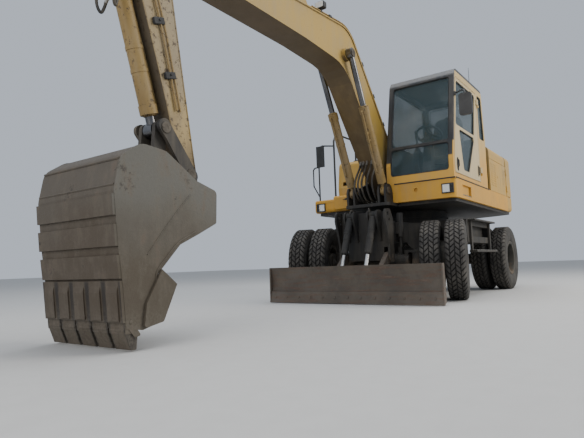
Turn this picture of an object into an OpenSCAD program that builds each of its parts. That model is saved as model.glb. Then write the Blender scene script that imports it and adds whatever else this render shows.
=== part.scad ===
// Wheeled excavator with a front dozer blade, twin tyres and a one-piece boom.
// X points forward, Y to the left, Z up; the origin is on the ground under the swing centre.

/* [Wheels and axles] */
// Outer radius of a tyre
tyre_r = 526; // [500:1:550]
// Width of one tyre
tyre_w = 260; // [220:5:270]
// Distance between the middles of the two tyres of a twin wheel
twin_pitch = 310; // [300:5:330]
// Half the overall width over the outer tyres
half_track = 1245; // [1235:1:1260]
// Radius of the wheel rim where the tyre sits
rim_r = 262; // [240:1:300]
// Distance between the two axles
wheelbase = 2622; // [2550:1:2750]
// Front axle, ahead of the swing centre
front_axle_x = 1324; // [1280:1:1360]
// Distance of each kingpin inwards from the middle of the inner tyre
kingpin_in = 205; // [200:1:210]
// Angle to the left at which the wheels are parked
steer_now = 14.7; // [-26:0.1:26]
// Length of a steering arm
steer_arm = 210; // [205:1:225]

/* [Chassis] */
// Underside of the chassis beam
chassis_low = 690; // [680:1:700]
// Top of the chassis beam
chassis_top = 1080; // [1060:1:1090]
// Half width of the chassis beam between the wheels
chassis_half = 330; // [300:1:335]
// Outer radius of the swing bearing
bearing_r = 590; // [560:5:620]
// Top face of the swing bearing
bearing_top = 1262; // [1255:1:1268]

/* [Blade] */
// Front face of the dozer blade
blade_x = 2197; // [2190:1:2260]
// Height of the dozer blade
blade_h = 480; // [440:1:500]
// Height of its cutting edge above the ground as parked
blade_lift = 8; // [5:1:30]
// Distance of each blade cylinder from the middle
blade_cyl_y = 175; // [170:1:180]
// Radius of a blade cylinder barrel
blade_barrel_r = 48; // [40:1:50]

/* [Upper structure] */
// Half width of the upper structure
upper_half = 1191; // [1180:1:1200]
// Front face of the left lower band, under the cab
band_x = 1337; // [1330:1:1340]
// Underside of the lower band
band_low = 1334; // [1332:1:1345]
// Top of the lower band, where cab and covers stand
deck = 1590; // [1570:1:1600]
// Underside of the revolving frame
frame_low = 1290; // [1285:1:1295]
// Radius of the tail about the swing centre
tail_r = 2150; // [2100:5:2200]
// Top of the engine covers
hood_top = 2330; // [2300:5:2360]
// Front face of the engine bay
bay_x = -430; // [-440:1:-420]
// Front face of the counterweight
weight_x = -1500; // [-1520:1:-1480]

/* [Cab] */
// Right wall of the cab, nearest the boom
cab_inner = 225; // [222:1:240]
// Left wall of the cab
cab_outer = 1171; // [1160:1:1176]
// Top of the cab roof
cab_top = 3152; // [3100:1:3200]
// Rear wall of the cab
cab_rear = -330; // [-340:1:-320]
// How far the windshield leans back from foot to roof
cab_lean = 250; // [200:5:300]
// Thickness of the cab walls
cab_wall = 50; // [45:1:60]

/* [Boom] */
// Half width of the boom box
boom_half = 155; // [140:1:158]
// Extra width of the top and bottom plates on each side
flange = 12; // [8:1:13]
// Radius of the boom foot pin
foot_pin_r = 45; // [35:1:50]
// Radius of a boom cylinder barrel
boom_barrel_r = 60; // [50:1:62]
// Distance of each boom cylinder from the middle
boom_cyl_y = 238; // [236:1:240]

/* [Arm and bucket] */
// Half width of the arm box
arm_half = 120; // [110:1:125]
// Radius of the arm cylinder barrel
arm_barrel_r = 72; // [60:1:75]
// Radius of the bucket cylinder barrel
bucket_barrel_r = 66; // [58:1:68]
// Half width of the bucket over its side plates
bucket_half = 460; // [420:1:520]
// Thickness of the bucket side plates
bucket_side_t = 25; // [16:1:30]
// Number of bucket teeth
tooth_n = 5; // [3:1:6]

/* [Clearances] */
// Gap between parts that move past each other
run_gap = 6; // [5:0.5:8]
// Radial play of a pin in its bore
pin_gap = 0.5; // [0.3:0.1:0.8]
// Gap where one piece stands on another
seat_gap = 0.3; // [0.2:0.1:0.5]

/* [Hidden] */
$fn = 48;

rear_axle_x = front_axle_x - wheelbase;
inner_y = half_track - tyre_w / 2 - twin_pitch;
outer_y = half_track - tyre_w / 2;
hub_y = (inner_y + outer_y) / 2;
kingpin_y = inner_y - kingpin_in;
floor_top = band_low - seat_gap;
band_w = 70;
band_in = upper_half - band_w;
blade_pivot = [1620, 600];
blade_cyl_top = [1720, 1160];
blade_rod_pin = [2030, 400];

foot = [780, 1620];
boom_cyl_base = [1480, 1500];
boom_cyl_pin = [2280, 3200];
arm_pivot = [5320, 3250];
arm_cyl_base = [3250, 3740];
arm_cyl_pin = [5499, 3727];
bucket_pin = [4950, 1000];
rocker_pivot = [4988, 1290];
rocker_pin = [5250, 1630];
link_pin = [5290, 1190];
bucket_cyl_base = [5650, 3050];

// Helpers: a plate is an outline in X and Z that runs from y0 to y1
function unit(v) = v / norm(v);
function turn(v, a) = [v[0] * cos(a) - v[1] * sin(a), v[0] * sin(a) + v[1] * cos(a)];
function sweep_angle(a, b) = let (d = b - a) d > 180 ? d - 360 : d < -180 ? d + 360 : d;
// One corner of an outline, as an arc of radius r from side a-b to side b-c
function corner(a, b, c, r) =
  let (u = unit(a - b), w = unit(c - b), half = acos(max(-1, min(1, u * w))) / 2)
  (r <= 0 || half > 89) ? [b] :
  let (mid = b + unit(u + w) * r / sin(half), s = b + u * r / tan(half), e = b + w * r / tan(half),
       a0 = atan2(s[1] - mid[1], s[0] - mid[0]), a1 = atan2(e[1] - mid[1], e[0] - mid[0]),
       n = max(2, ceil(abs(sweep_angle(a0, a1)) / 15)))
  [for (i = [0:n]) let (t = a0 + sweep_angle(a0, a1) * i / n) mid + r * [cos(t), sin(t)]];
// An outline from rows of [x, z, corner radius]
function rounded(p) = [for (i = [0:len(p) - 1])
  let (a = p[(i + len(p) - 1) % len(p)], b = p[i], c = p[(i + 1) % len(p)])
  each corner([a[0], a[1]], [b[0], b[1]], [c[0], c[1]], b[2])];

module plate(p, y0, y1) {
  translate([0, y1, 0]) rotate([90, 0, 0]) linear_extrude(y1 - y0) polygon(rounded(p));
}
module slab(p, z0, z1) {
  translate([0, 0, z0]) linear_extrude(z1 - z0) polygon(rounded(p));
}
module across(p, x0, x1) {
  translate([x0, 0, 0]) rotate([90, 0, 90]) linear_extrude(x1 - x0) polygon(rounded(p));
}
module pin(c, r, y0, y1) {
  translate([c[0], y1, c[1]]) rotate([90, 0, 0]) cylinder(r = r, h = y1 - y0);
}
module bar(p, q, r, y, from = 0, to = 0) {
  d = q - p;
  translate([p[0], y, p[1]]) rotate([0, atan2(d[0], d[1]), 0]) translate([0, 0, from])
    cylinder(r = r, h = (to == 0 ? norm(d) : to) - from);
}
module block(x0, x1, y0, y1, z0, z1) {
  translate([x0, y0, z0]) cube([x1 - x0, y1 - y0, z1 - z0]);
}
module both() {
  children();
  mirror([0, 1, 0]) children();
}
// A round tube from p to q in space
module tube3(p, q, r) {
  d = q - p;
  translate(p) rotate([0, acos(d[2] / norm(d)), atan2(d[1], d[0])]) cylinder(r = r, h = norm(d), $fn = 20);
}
// A bent tube through points: straight tubes whose ends lie in slightly thicker elbows
function bend_angle(pts, i) = acos(unit(pts[i] - pts[i - 1]) * unit(pts[i + 1] - pts[i]));
module rail(pts, r, bend_r = 50) {
  n = len(pts) - 1;
  back = [for (i = [0:n]) (i == 0 || i == n) ? 0 : bend_r * tan(bend_angle(pts, i) / 2) - 3];
  for (i = [0:n - 1]) let (u = unit(pts[i + 1] - pts[i]))
    tube3(pts[i] + u * back[i], pts[i + 1] - u * back[i + 1], r);
  for (i = [1:n - 1]) elbow(pts[i], unit(pts[i] - pts[i - 1]), unit(pts[i + 1] - pts[i]), r + 1, bend_r);
}
// The elbow at corner b, from direction u to direction w
module elbow(b, u, w, r, bend_r) {
  n = unit(w - u * (w * u));
  c = b - u * bend_r * tan(acos(u * w) / 2) + n * bend_r;
  z = cross(-n, u);
  multmatrix([[-n[0], u[0], z[0], c[0]], [-n[1], u[1], z[1], c[1]], [-n[2], u[2], z[2], c[2]], [0, 0, 0, 1]])
    rotate_extrude(angle = acos(u * w)) translate([bend_r, 0]) circle(r = r, $fn = 20);
}

// Undercarriage
blade_lug_in = blade_barrel_r + run_gap;
lug_t = 26;
knuckle_h = 210;
axle_bulb_r = 185;
lash_bore_r = 22;
flange_r = 278;
front_lash = [1682, 1082];
rear_lash = [-1668, 950];
// The two locking cylinders of the front axle stand beside the chassis on pads of the axle
lock_r = 45;
lock_y = chassis_half + lock_r + 5;
lock_foot = 720;
gearbox_l = 478;

module chassis_frame() {
  color("#2e2c2a") difference() {
    union() {
      intersection() {
        slab([[-1640, -chassis_half, 40], [-900, -chassis_half, 60], [-560, -480, 120], [560, -480, 120],
              [900, -chassis_half, 60], [1640, -chassis_half, 30], [1640, chassis_half, 30],
                  [900, chassis_half, 60],
              [560, 480, 120], [-560, 480, 120], [-900, chassis_half, 60], [-1640, chassis_half, 40]],
             chassis_low - 60, chassis_top);
        plate([[-1640, 760, 40], [-1000, 760, 80], [-760, chassis_low - 40, 80], [760, chassis_low - 40, 80],
               [1000, 790, 80], [1640, 790, 30], [1640, chassis_top, 20], [-1640, chassis_top, 60]], -500,
                   500);
      }
      translate([0, 0, chassis_top - 40]) cylinder(r = bearing_r - 20, h = 140, $fn = 72);
      // blade brackets with the lugs for the arms and cylinders
      both() plate([[1560, 520, 50], [1700, 520, 70], [1700, 760, 60], [1800, 1100, 60], [1790, 1220, 50],
                    [1640, 1230, 50], [1560, 1100, 60]], 355, 385);
      both() for (y = [-blade_lug_in - lug_t, blade_lug_in])
        plate([[1600, 800, 20], [1660, 800, 20], [1790, 1130, 40], [1760, 1220, 50], [1620, 1220, 40]],
              blade_cyl_y + y, blade_cyl_y + y + lug_t);
      block(1600, 1640, -370, 370, 720, 1200);
      block(1600, 1640, -270, 270, 540, 720);
      // rear lashing eyes
      both() plate([[-1710, 905, 30], [-1570, 880, 5], [-1570, 1010, 5], [-1710, 990, 40]],
          chassis_half - 32, chassis_half);
      // hangers of the front axle pivot
      for (x = [front_axle_x - 190, front_axle_x + 150]) block(x, x + 40, -120, 120, 640, 800);
      // side rails that carry the step boxes
      both() for (x = [-420, 380]) block(x, x + 60, 400, 720, 900, 1000);
    }
    both() pin(blade_pivot, 30 + pin_gap, 350, 390);
    pin(blade_cyl_top, 25 + pin_gap, -500, 500);
    both() pin(rear_lash, lash_bore_r, chassis_half - 40, chassis_half + 5);
    both() pin(front_lash, lash_bore_r, 350, 390);
    translate([front_axle_x - 200, 0, 700]) rotate([0, 90, 0]) cylinder(r = 35 + pin_gap, h = 400);
    // pockets behind the rear lashing eyes
    both() block(-1720, -1500, 120, chassis_half - 32, 700, chassis_top + 10);
  }
}

module swing_bearing() {
  color("#4a4640") difference() {
    translate([0, 0, chassis_top + 100]) cylinder(r = bearing_r, h = bearing_top - chassis_top - 100,
        $fn = 72);
    translate([0, 0, chassis_top]) cylinder(r = bearing_r - 120, h = 400, $fn = 72);
  }
}

module side_steps() {
  color("#3a3835") both() {
    difference() {
      plate([[-640, 760, 40], [600, 760, 40], [660, 1000, 40], [640, 1090, 20], [-640, 1090, 20]],
          720 + seat_gap, 1080);
      block(-500, 500, 1000, 1090, 850, 1000);
    }
    block(-560, 560, 1080, 1180, 1070, 1090);
    for (x = [-520, 460]) block(x, x + 60, 1080, 1110, 640, 1080);
    block(-560, 560, 1080, 1190, 620, 645);
  }
}

module axle_beam(x, reach) {
  translate([x, 0, tyre_r]) rotate([90, 0, 0]) rotate_extrude($fn = 60)
    polygon([[0, -reach], [90, -reach], [95, -330], [axle_bulb_r, -120], [axle_bulb_r, 120], [95, 330],
        [90, reach],
             [0, reach]]);
}

module front_axle() {
  color("#34302c") difference() {
    union() {
      axle_beam(front_axle_x, kingpin_y - 90);
      both() {
        for (s = [-1, 1]) translate([front_axle_x, kingpin_y, tyre_r + s * (knuckle_h / 2 + run_gap + 17)])
          translate([0, 0, -17]) cylinder(r = 62, h = 34);
        for (s = [-1, 1]) block(front_axle_x - 62, front_axle_x + 62, kingpin_y - 130, kingpin_y,
          tyre_r + s * (knuckle_h / 2 + run_gap + 17) - 17, tyre_r + s * (knuckle_h / 2 + run_gap + 17) + 17);
        block(front_axle_x - 62, front_axle_x + 62, kingpin_y - 150, kingpin_y - 100,
          tyre_r - knuckle_h / 2 - run_gap - 34, tyre_r + knuckle_h / 2 + run_gap + 34);
      }
      block(front_axle_x - 143, front_axle_x + 143, -90, 90, 640, 745);
      translate([front_axle_x - 195, 0, 700]) rotate([0, 90, 0]) cylinder(r = 35, h = 390);
      both() block(front_axle_x - 40, front_axle_x + 40, lock_y - 25, lock_y + 25, 560, lock_foot);
    }
    both() translate([front_axle_x, kingpin_y, 0]) cylinder(r = 28 + pin_gap, h = 1000);
  }
}

module rear_axle() {
  color("#34302c") {
    axle_beam(rear_axle_x, kingpin_y);
    both() translate([rear_axle_x, kingpin_y, tyre_r]) rotate([-90, 0, 0]) cylinder(r = 105,
        h = inner_y - 135 - kingpin_y);
    // the shaft of each hub starts inside the beam
    both() translate([rear_axle_x, kingpin_y - 100, tyre_r]) rotate([-90, 0, 0]) cylinder(r = 60,
        h = hub_y - 90 - (kingpin_y - 100));
    // pads under the chassis beam
    both() block(rear_axle_x - 90, rear_axle_x + 90, 200, 320, tyre_r, 760 - seat_gap);
  }
}

module drive_line() {
  color("#3b3733") {
    x0 = rear_axle_x + axle_bulb_r + seat_gap;
    x1 = rear_axle_x + gearbox_l;
    plate([[x0, 400, 30], [x1, 400, 40], [x1, 640, 40], [x0, 640, 30]], -170, 170);
    translate([x1, 0, 560]) rotate([0, 90, 0]) cylinder(r = 60, h = 60);
    // the shaft starts inside the gearbox
    translate([x1 - 30, 0, 560]) rotate([0, 90, 0]) cylinder(r = 36,
        h = front_axle_x - axle_bulb_r - seat_gap - (x1 - 30));
  }
}

module axle_locks() {
  color("#2b2a28") both() {
    translate([front_axle_x, lock_y, 860]) cylinder(r = lock_r, h = 330);
    translate([front_axle_x, lock_y, lock_foot + seat_gap]) cylinder(r = 24, h = 150);
    block(front_axle_x - 60, front_axle_x + 60, chassis_half + seat_gap, lock_y, 900, 1060);
  }
}

// A knuckle turns on its kingpin; side is 1 on the left and -1 on the right
module knuckle(side) {
  color("#3a3632") translate([front_axle_x, side * kingpin_y, 0]) rotate([0, 0, steer_now]) {
    translate([0, 0, tyre_r - knuckle_h / 2]) cylinder(r = 68, h = knuckle_h);
    translate([0, 0, tyre_r - knuckle_h / 2 - run_gap - 34]) cylinder(r = 28,
        h = knuckle_h + 2 * run_gap + 68);
    translate([0, 0, tyre_r]) rotate([-90 * side, 0, 0]) cylinder(r = 60, h = hub_y - 90 - kingpin_y);
    difference() {
      translate([0, 0, tyre_r - 86]) linear_extrude(30)
        polygon([[0, -55], [-steer_arm, -32], [-steer_arm - 30, 0], [-steer_arm, 32], [0, 55]]);
      translate([-steer_arm, 0, tyre_r - 200]) cylinder(r = 14 + pin_gap, h = 200);
    }
  }
}
module knuckle_left() { knuckle(1); }
module knuckle_right() { knuckle(-1); }

module tie_rod() {
  reach = turn([-steer_arm, 0], steer_now);
  color("#55504a") for (s = [-1, 1]) translate([front_axle_x + reach[0], s * kingpin_y + reach[1], 0]) {
    translate([0, 0, tyre_r - 127]) cylinder(r = 34, h = 35);
    translate([0, 0, tyre_r - 127]) cylinder(r = 14, h = 75);
  }
  color("#55504a") translate([front_axle_x + reach[0], -kingpin_y + reach[1], tyre_r - 110]) rotate([-90, 0,
      0])
    cylinder(r = 14.5, h = 2 * kingpin_y);
}

// Twin tyres and rims are drawn at the kingpin and then turned with the wheel
module wheel_place(x, side, angle) {
  translate([x, side * kingpin_y, tyre_r]) rotate([0, 0, angle]) rotate([90 * side, 0, 0]) mirror([0, 0,
      1]) children();
}
module tyre_ring(y) {
  w = tyre_w / 2;
  translate([0, 0, y - kingpin_y]) rotate_extrude($fn = 72)
    polygon([[rim_r, -w * 0.72], [rim_r + 70, -w * 0.98], [tyre_r - 110, -w], [tyre_r - 26, -w * 0.9],
        [tyre_r, -w * 0.72],
             [tyre_r, w * 0.72], [tyre_r - 26, w * 0.9], [tyre_r - 110, w], [rim_r + 70, w * 0.98],
                 [rim_r, w * 0.72]]);
}
module rim_pair() {
  w = tyre_w / 2;
  // the flanges follow the tyre's wall
  f = w * (0.72 + 0.26 * (flange_r - rim_r) / 70);
  g = 2 * seat_gap;
  h = hub_y - kingpin_y;
  i = inner_y - kingpin_y;
  o = outer_y - kingpin_y;
  difference() {
    rotate_extrude($fn = 72) polygon([
      [60 + pin_gap, i - w + 15], [150, i - w + 15], [150, h - 25], [228, h - 10], [236, i - f - g - 4],
      [flange_r, i - f - g - 7], [flange_r, i - f - g], [rim_r - seat_gap, i - w * 0.72 - g],
          [rim_r - seat_gap, i + w * 0.72],
      [250, i + w * 0.78], [250, o - w * 0.78], [rim_r - seat_gap, o - w * 0.72],
          [rim_r - seat_gap, o + w * 0.72 + g],
      [flange_r, o + f + g], [flange_r, o + f + g + 7], [236, o + f + g + 4], [228, h + 10], [150, h + 25],
      [130, h + 130], [70, h + 150], [0, h + 150], [0, h - 85], [60 + pin_gap, h - 85]]);
    for (k = [0:7]) rotate([0, 0, k * 45]) translate([190, 0, h - 60]) cylinder(r = 22, h = 120, $fn = 24);
  }
}
module tyres(x, side, angle) {
  color("#1d1c1b") wheel_place(x, side, angle) { tyre_ring(inner_y); tyre_ring(outer_y); }
}
module rims(x, side, angle) {
  color("#3c4038") wheel_place(x, side, angle) rim_pair();
}
module tyres_front_left() { tyres(front_axle_x, 1, steer_now); }
module tyres_front_right() { tyres(front_axle_x, -1, steer_now); }
module tyres_rear_left() { tyres(rear_axle_x, 1, 0); }
module tyres_rear_right() { tyres(rear_axle_x, -1, 0); }
module rims_front_left() { rims(front_axle_x, 1, steer_now); }
module rims_front_right() { rims(front_axle_x, -1, steer_now); }
module rims_rear_left() { rims(rear_axle_x, 1, 0); }
module rims_rear_right() { rims(rear_axle_x, -1, 0); }

// Dozer blade
module blade() {
  z0 = blade_lift;
  z1 = blade_lift + blade_h;
  sag = 45;
  n = 8;
  front = [for (i = [0:n]) let (t = i / n) [blade_x - 4 * sag * t * (1 - t), z0 + blade_h * t, 0]];
  back = [for (i = [n:-1:0]) let (t = i / n) [blade_x - 22 - 4 * sag * t * (1 - t), z0 + blade_h * t, 0]];
  color("#4b423a") difference() {
    union() {
      plate(concat(front, back), -half_track, half_track);
      plate([[blade_x - 12, z0, 0], [blade_x + 14, z0, 0], [blade_x - 6, z0 + 150, 0],
          [blade_x - 50, z0 + 150, 0]],
            -half_track, half_track);
      both() plate([[blade_x - 70, z0 + 30, 20], [blade_x + 10, z0, 0], [blade_x + 10, z1, 0],
          [blade_x - 50, z1, 20]],
                   half_track - 18, half_track);
      plate([[blade_x - 90, z1 - 90, 15], [blade_x - 40, z1 - 90, 0], [blade_x - 15, z1, 0],
          [blade_x - 75, z1, 15]],
            -half_track + 18, half_track - 18);
      plate([[blade_x - 95, z0 + 70, 15], [blade_x - 30, z0 + 60, 0], [blade_x - 60, z0 + 190, 0],
             [blade_x - 95, z0 + 190, 15]], -half_track + 18, half_track - 18);
      both() plate([[blade_pivot[0] - 65, blade_pivot[1], 45], [blade_pivot[0], blade_pivot[1] - 65, 45],
                    [blade_x - 75, z0 + 60, 10], [blade_x - 75, z0 + 250, 10],
                    [blade_pivot[0] + 20, blade_pivot[1] + 65, 45]], 285, 349);
      both() for (y = [-blade_lug_in - lug_t, blade_lug_in])
        plate([[blade_rod_pin[0] - 50, blade_rod_pin[1] + 20, 40],
            [blade_rod_pin[0] - 40, blade_rod_pin[1] - 60, 30],
               [blade_x - 70, z0 + 80, 0], [blade_x - 60, z0 + 300, 0],
                   [blade_rod_pin[0] + 30, blade_rod_pin[1] + 60, 40]],
              blade_cyl_y + y, blade_cyl_y + y + lug_t);
      block(blade_rod_pin[0] - 20, blade_x - 70, -349, 349, 240, 290);
      both() pin(blade_pivot, 30, 285, 385);
    }
  }
}

module blade_barrels() {
  color("#242322") both() difference() {
    union() {
      bar(blade_cyl_top, blade_rod_pin, blade_barrel_r, blade_cyl_y, 40, 560);
      pin(blade_cyl_top, 46, blade_cyl_y - blade_barrel_r, blade_cyl_y + blade_barrel_r);
      pin(blade_cyl_top, 25, blade_cyl_y - blade_lug_in - lug_t, blade_cyl_y + blade_lug_in + lug_t);
    }
    bar(blade_cyl_top, blade_rod_pin, 26 + pin_gap, blade_cyl_y, 90, 600);
  }
}
module blade_rods() {
  color("silver") both() {
    bar(blade_cyl_top, blade_rod_pin, 26, blade_cyl_y, 300);
    pin(blade_rod_pin, 42, blade_cyl_y - blade_barrel_r, blade_cyl_y + blade_barrel_r);
  }
}

// Upper structure
module tail_outline(inset, x_front, z0, z1) {
  intersection() {
    translate([0, 0, z0]) cylinder(r = tail_r - inset, h = z1 - z0, $fn = 96);
    block(-tail_r, x_front, -upper_half + inset, upper_half - inset, z0, z1);
  }
}

module upper_frame() {
  half = upper_half - 41;
  color("#2f2e2c") difference() {
    union() {
      translate([0, 0, bearing_top + pin_gap]) cylinder(r = 560, h = frame_low - bearing_top, $fn = 72);
      intersection() {
        translate([0, 0, frame_low]) cylinder(r = tail_r - 60, h = floor_top - frame_low, $fn = 96);
        slab([[-2100, -half, 300], [980, -half, 60], [980, -340, 0], [1560, -340, 40], [1560, 340, 40],
              [1250, 340, 0], [1250, half, 60], [-2100, half, 300]], frame_low, floor_top);
      }
      // boom brackets
      both() plate([[420, floor_top, 0], [1560, floor_top, 0], [1575, 1500, 70], [1540, 1590, 70],
                    [1380, 1590, 60], [900, 1770, 90], [700, 1770, 90], [420, 1500, 60]], 175, 205);
      both() plate([[1345, floor_top, 0], [1560, floor_top, 0], [1575, 1500, 70], [1540, 1590, 70],
                    [1400, 1590, 60], [1345, 1480, 20]], 275, 305);
      pin(foot, foot_pin_r, -205, 205);
      // bulkhead between cab and engine bay
      block(bay_x + 10, bay_x + 30, -band_in + 1, band_in - 1, floor_top, hood_top - 60);
      // posts under the cab
      for (x = [-200, 1120]) for (y = [cab_inner + 95, band_in - 81]) translate([x, y, floor_top - 10])
        cylinder(r = 45, h = deck - floor_top + 10 - seat_gap);
      // hinge lugs of the hood
      both() for (y = [hood_hinge_y - 40, hood_hinge_y + 80])
        plate([[hood_hinge[0] - 2, 2200, 0], [hood_hinge[0] + 20, 2200, 0],
            [hood_hinge[0] + 12, hood_hinge[1] + 12, 11],
               [hood_hinge[0] - 12, hood_hinge[1] + 12, 11], [hood_hinge[0] - 12, hood_hinge[1] - 12, 4]],
                   y, y + 40);
      // engine bearers
      both() block(-1400, -560, 300, 360, floor_top, 1480);
    }
    both() pin(boom_cyl_base, 30 + pin_gap, 170, 310);
  }
}

module lower_band() {
  w = band_w;
  color("#c8962a") {
    difference() {
      union() {
        slab([[weight_x + seat_gap, upper_half, 0], [weight_x + seat_gap, upper_half - w, 0],
            [1180, upper_half - w, 0],
              [1250, upper_half - 190, 60], [1250, 320, 0], [band_x - 60, 230, 20], [band_x, 230, 30],
              [band_x, upper_half, 90]], band_low, deck - seat_gap);
      }
      block(680, 1070, upper_half - 30, upper_half + 10, band_low + 40, deck - 70);
      translate([band_x - 30, 640, 1480]) rotate([0, 90, 0]) cylinder(r = 26, h = 80);
    }
    slab([[weight_x + seat_gap, -upper_half, 0], [500, -upper_half, 40], [500, -upper_half + w, 0],
          [weight_x + seat_gap, -upper_half + w, 0]], band_low, deck - seat_gap);
  }
}

module counterweight() {
  color("#bf9330") both() for (z = side_hinge_z)
    block(weight_x - 20, side_hinge[0] + 2, upper_half - 4, upper_half + 11, z - 25, z - seat_gap);
  color("#bf9330") intersection() {
    difference() {
      tail_outline(0, weight_x, band_low, hood_top);
      difference() {
        tail_outline(-20, weight_x - 40, deck - 8, deck + 8);
        tail_outline(14, weight_x, deck - 20, deck + 20);
      }
    }
    across([[-upper_half, band_low, 60], [upper_half, band_low, 60], [upper_half, hood_top, 110],
            [-upper_half, hood_top, 110]], -tail_r - 20, weight_x + 20);
    plate([[-tail_r, band_low, 90], [weight_x + 10, band_low, 0], [weight_x + 10, hood_top, 0],
           [-1860, hood_top, 120], [-tail_r, 2060, 160]], -upper_half - 10, upper_half + 10);
  }
}

module engine_block() {
  color("#55534f") plate([[-1400, 1480 + seat_gap, 20], [-560, 1480 + seat_gap, 20], [-560, 2080, 60],
      [-1400, 2080, 60]], -330, 330);
}

hood_side_z = 2120;
hood_hinge = [bay_x + 10, 2318];
hood_hinge_y = 600;
hood_back_gap = 26;
side_hinge = [weight_x + 10, upper_half + 3];
side_hinge_z = [1690, 1980];
module hood() {
  t = 14;
  x0 = weight_x + hood_back_gap;
  x1 = bay_x - run_gap;
  color("#c79a35") both() {
    translate([hood_hinge[0], hood_hinge_y + seat_gap, hood_hinge[1]]) rotate([-90, 0, 0])
      cylinder(r = 8, h = 80 - 2 * seat_gap);
    block(x1 - 1, hood_hinge[0], hood_hinge_y + seat_gap, hood_hinge_y + 80 - seat_gap, hood_hinge[1] - 8,
        hood_hinge[1] + 8);
  }
  color("#c79a35") difference() {
    across([[-upper_half + 6, hood_side_z, 0], [upper_half - 6, hood_side_z, 0],
        [upper_half - 6, hood_top, 110],
            [-upper_half + 6, hood_top, 110]], x0, x1);
    across([[-upper_half + 6 + t, hood_side_z - 10, 0], [upper_half - 6 - t, hood_side_z - 10, 0],
            [upper_half - 6 - t, hood_top - t, 96], [-upper_half + 6 + t, hood_top - t, 96]], x0 + t, x1 - t);
  }
}

// A side door is a pan with louvres; side is 1 on the left and -1 on the right
louvre_x = [-620, -810];
louvre_w = 130;
module side_door(side) {
  x0 = weight_x + run_gap;
  x1 = bay_x - run_gap;
  z0 = deck + run_gap;
  z1 = hood_side_z - run_gap;
  color("#c79a35") mirror([0, side > 0 ? 0 : 1, 0]) {
    difference() {
      plate([[x0, z0, 0], [x1, z0, 0], [x1, z1, 0], [x0, z1, 0]], upper_half - 36, upper_half - 6);
      plate([[x0 + 20, z0 + 20, 0], [x1 - 20, z0 + 20, 0], [x1 - 20, z1 - 20, 0], [x0 + 20, z1 - 20, 0]],
            upper_half - 50, upper_half - 20);
      for (x = louvre_x) for (k = [0:9])
        block(x, x + louvre_w, upper_half - 50, upper_half, 1690 + k * 38, 1704 + k * 38);
    }
    for (z = side_hinge_z) translate([side_hinge[0], side_hinge[1], z]) cylinder(r = 10, h = 80);
  }
}
module side_door_left() { side_door(1); }
module side_door_right() { side_door(-1); }

tank_top = 2130;
module tank_housing() {
  color("#c1932f") difference() {
    plate([[bay_x + 40, band_low, 0], [900, band_low, 0], [930, 1700, 40], [880, 2080, 60],
        [820, tank_top, 40],
           [bay_x + 40, tank_top, 40]], -800, -330);
    block(850, 960, -720, -540, 1740, 1800);
  }
  // walkway beside the tank with its step
  color("#4a463f") {
    block(bay_x + 40, 504, -band_in + seat_gap, -800 - seat_gap, band_low, deck);
    block(500 + seat_gap, 900, -1150, -800 - seat_gap, band_low, 1380);
    block(bay_x + 60, 480, -802, -798, band_low + 20, deck - 20);
  }
}

corner_top = 1540;
module tool_box() {
  color("#c8962a") {
    block(940, 1010, -802, -798, band_low + 60, corner_top - 60);
    plate([[932, band_low, 0], [1100, band_low, 60], [1100, 1570, 40], [932, 1570, 0]], -800, -345);
    plate([[905, band_low, 0], [1020, band_low, 50], [1020, corner_top, 40], [905, corner_top, 0]],
        -upper_half, -800 - seat_gap);
  }
}

// Posts of the handrails stand on the box before the tank, on the walkway and on the tank
rail_r = 15;
rail_x = 965;
rail_y = -835;
module handrails() {
  color("#1c1c1c") {
    rail([[rail_x, rail_y, corner_top + seat_gap], [rail_x, rail_y, 2480], [880, rail_y, 2610],
        [300, rail_y, 2610],
          [240, rail_y, 2480], [240, rail_y, deck + seat_gap]], rail_r);
    rail([[rail_x, rail_y, 2400], [rail_x, -1080, 2440], [rail_x, -1130, 2330],
        [rail_x, -1130, corner_top + seat_gap]],
         rail_r - 3);
    rail([[rail_x, -1130, 2090], [rail_x, -1240, 2090], [rail_x, -1240, 1790], [rail_x, -1132, 1600]],
        rail_r - 5);
    rail([[560, -480, tank_top + seat_gap], [560, -480, 2450], [200, -480, 2450],
        [200, -480, tank_top + seat_gap]],
         rail_r);
  }
}

// The right mirror sits against the elbow of the front rail
mirror_x = rail_x + rail_r - 2 + seat_gap;
left_mirror_x = 1172;
bracket_x = lean_x(2765) - 52;
module mirrors() {
  color("#1e1e1e") {
    plate([[mirror_x, 2080, 10], [mirror_x + 26, 2080, 10], [mirror_x + 26, 2430, 10],
        [mirror_x, 2430, 10]], -1150, -1010);
    // the left mirror hangs from the front post of the cab, clear of the door
    block(bracket_x, bracket_x + 45, cab_outer + seat_gap, cab_outer + 24, 2740, 2790);
    rail([[bracket_x + 23, cab_outer + 10, 2765], [bracket_x + 55, cab_outer + 150, 2790],
          [left_mirror_x + 18, cab_outer + 160, 2690]], 10);
    across([[cab_outer + 80, 2420, 35], [cab_outer + 250, 2420, 35], [cab_outer + 250, 2720, 35],
                 [cab_outer + 80, 2720, 35]], left_mirror_x, left_mirror_x + 35);
  }
}

module lamps() {
  color("#d8d8d0") {
    block(band_x + seat_gap, band_x + 18, 1010, 1150, 1400, 1510);
    block(1020 + seat_gap, 1038, -1150, -1010, 1360, 1470);
  }
}

// Cab: the side outline, moved inwards by w
function cab_outline(w) = [
  [cab_rear + w, deck + w, 0], [band_x - w, deck + w, 0], [band_x - w * 1.05, 1850, 60],
  [band_x - cab_lean - w * 1.05, cab_top - 90, 90], [band_x - cab_lean - 70 - w, cab_top - w, 60],
  [cab_rear + 70 + w, cab_top - w, 80], [cab_rear + w, 2350, 100]];
door_hinge = [55, 1190];
door_hinge_z = [1800, 2850];
door_low = 1660;
door_post = 56;
door_top = 3040;
function lean_x(z) = z < 1850 ? band_x : band_x - cab_lean * (z - 1850) / (cab_top - 90 - 1850);
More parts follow.
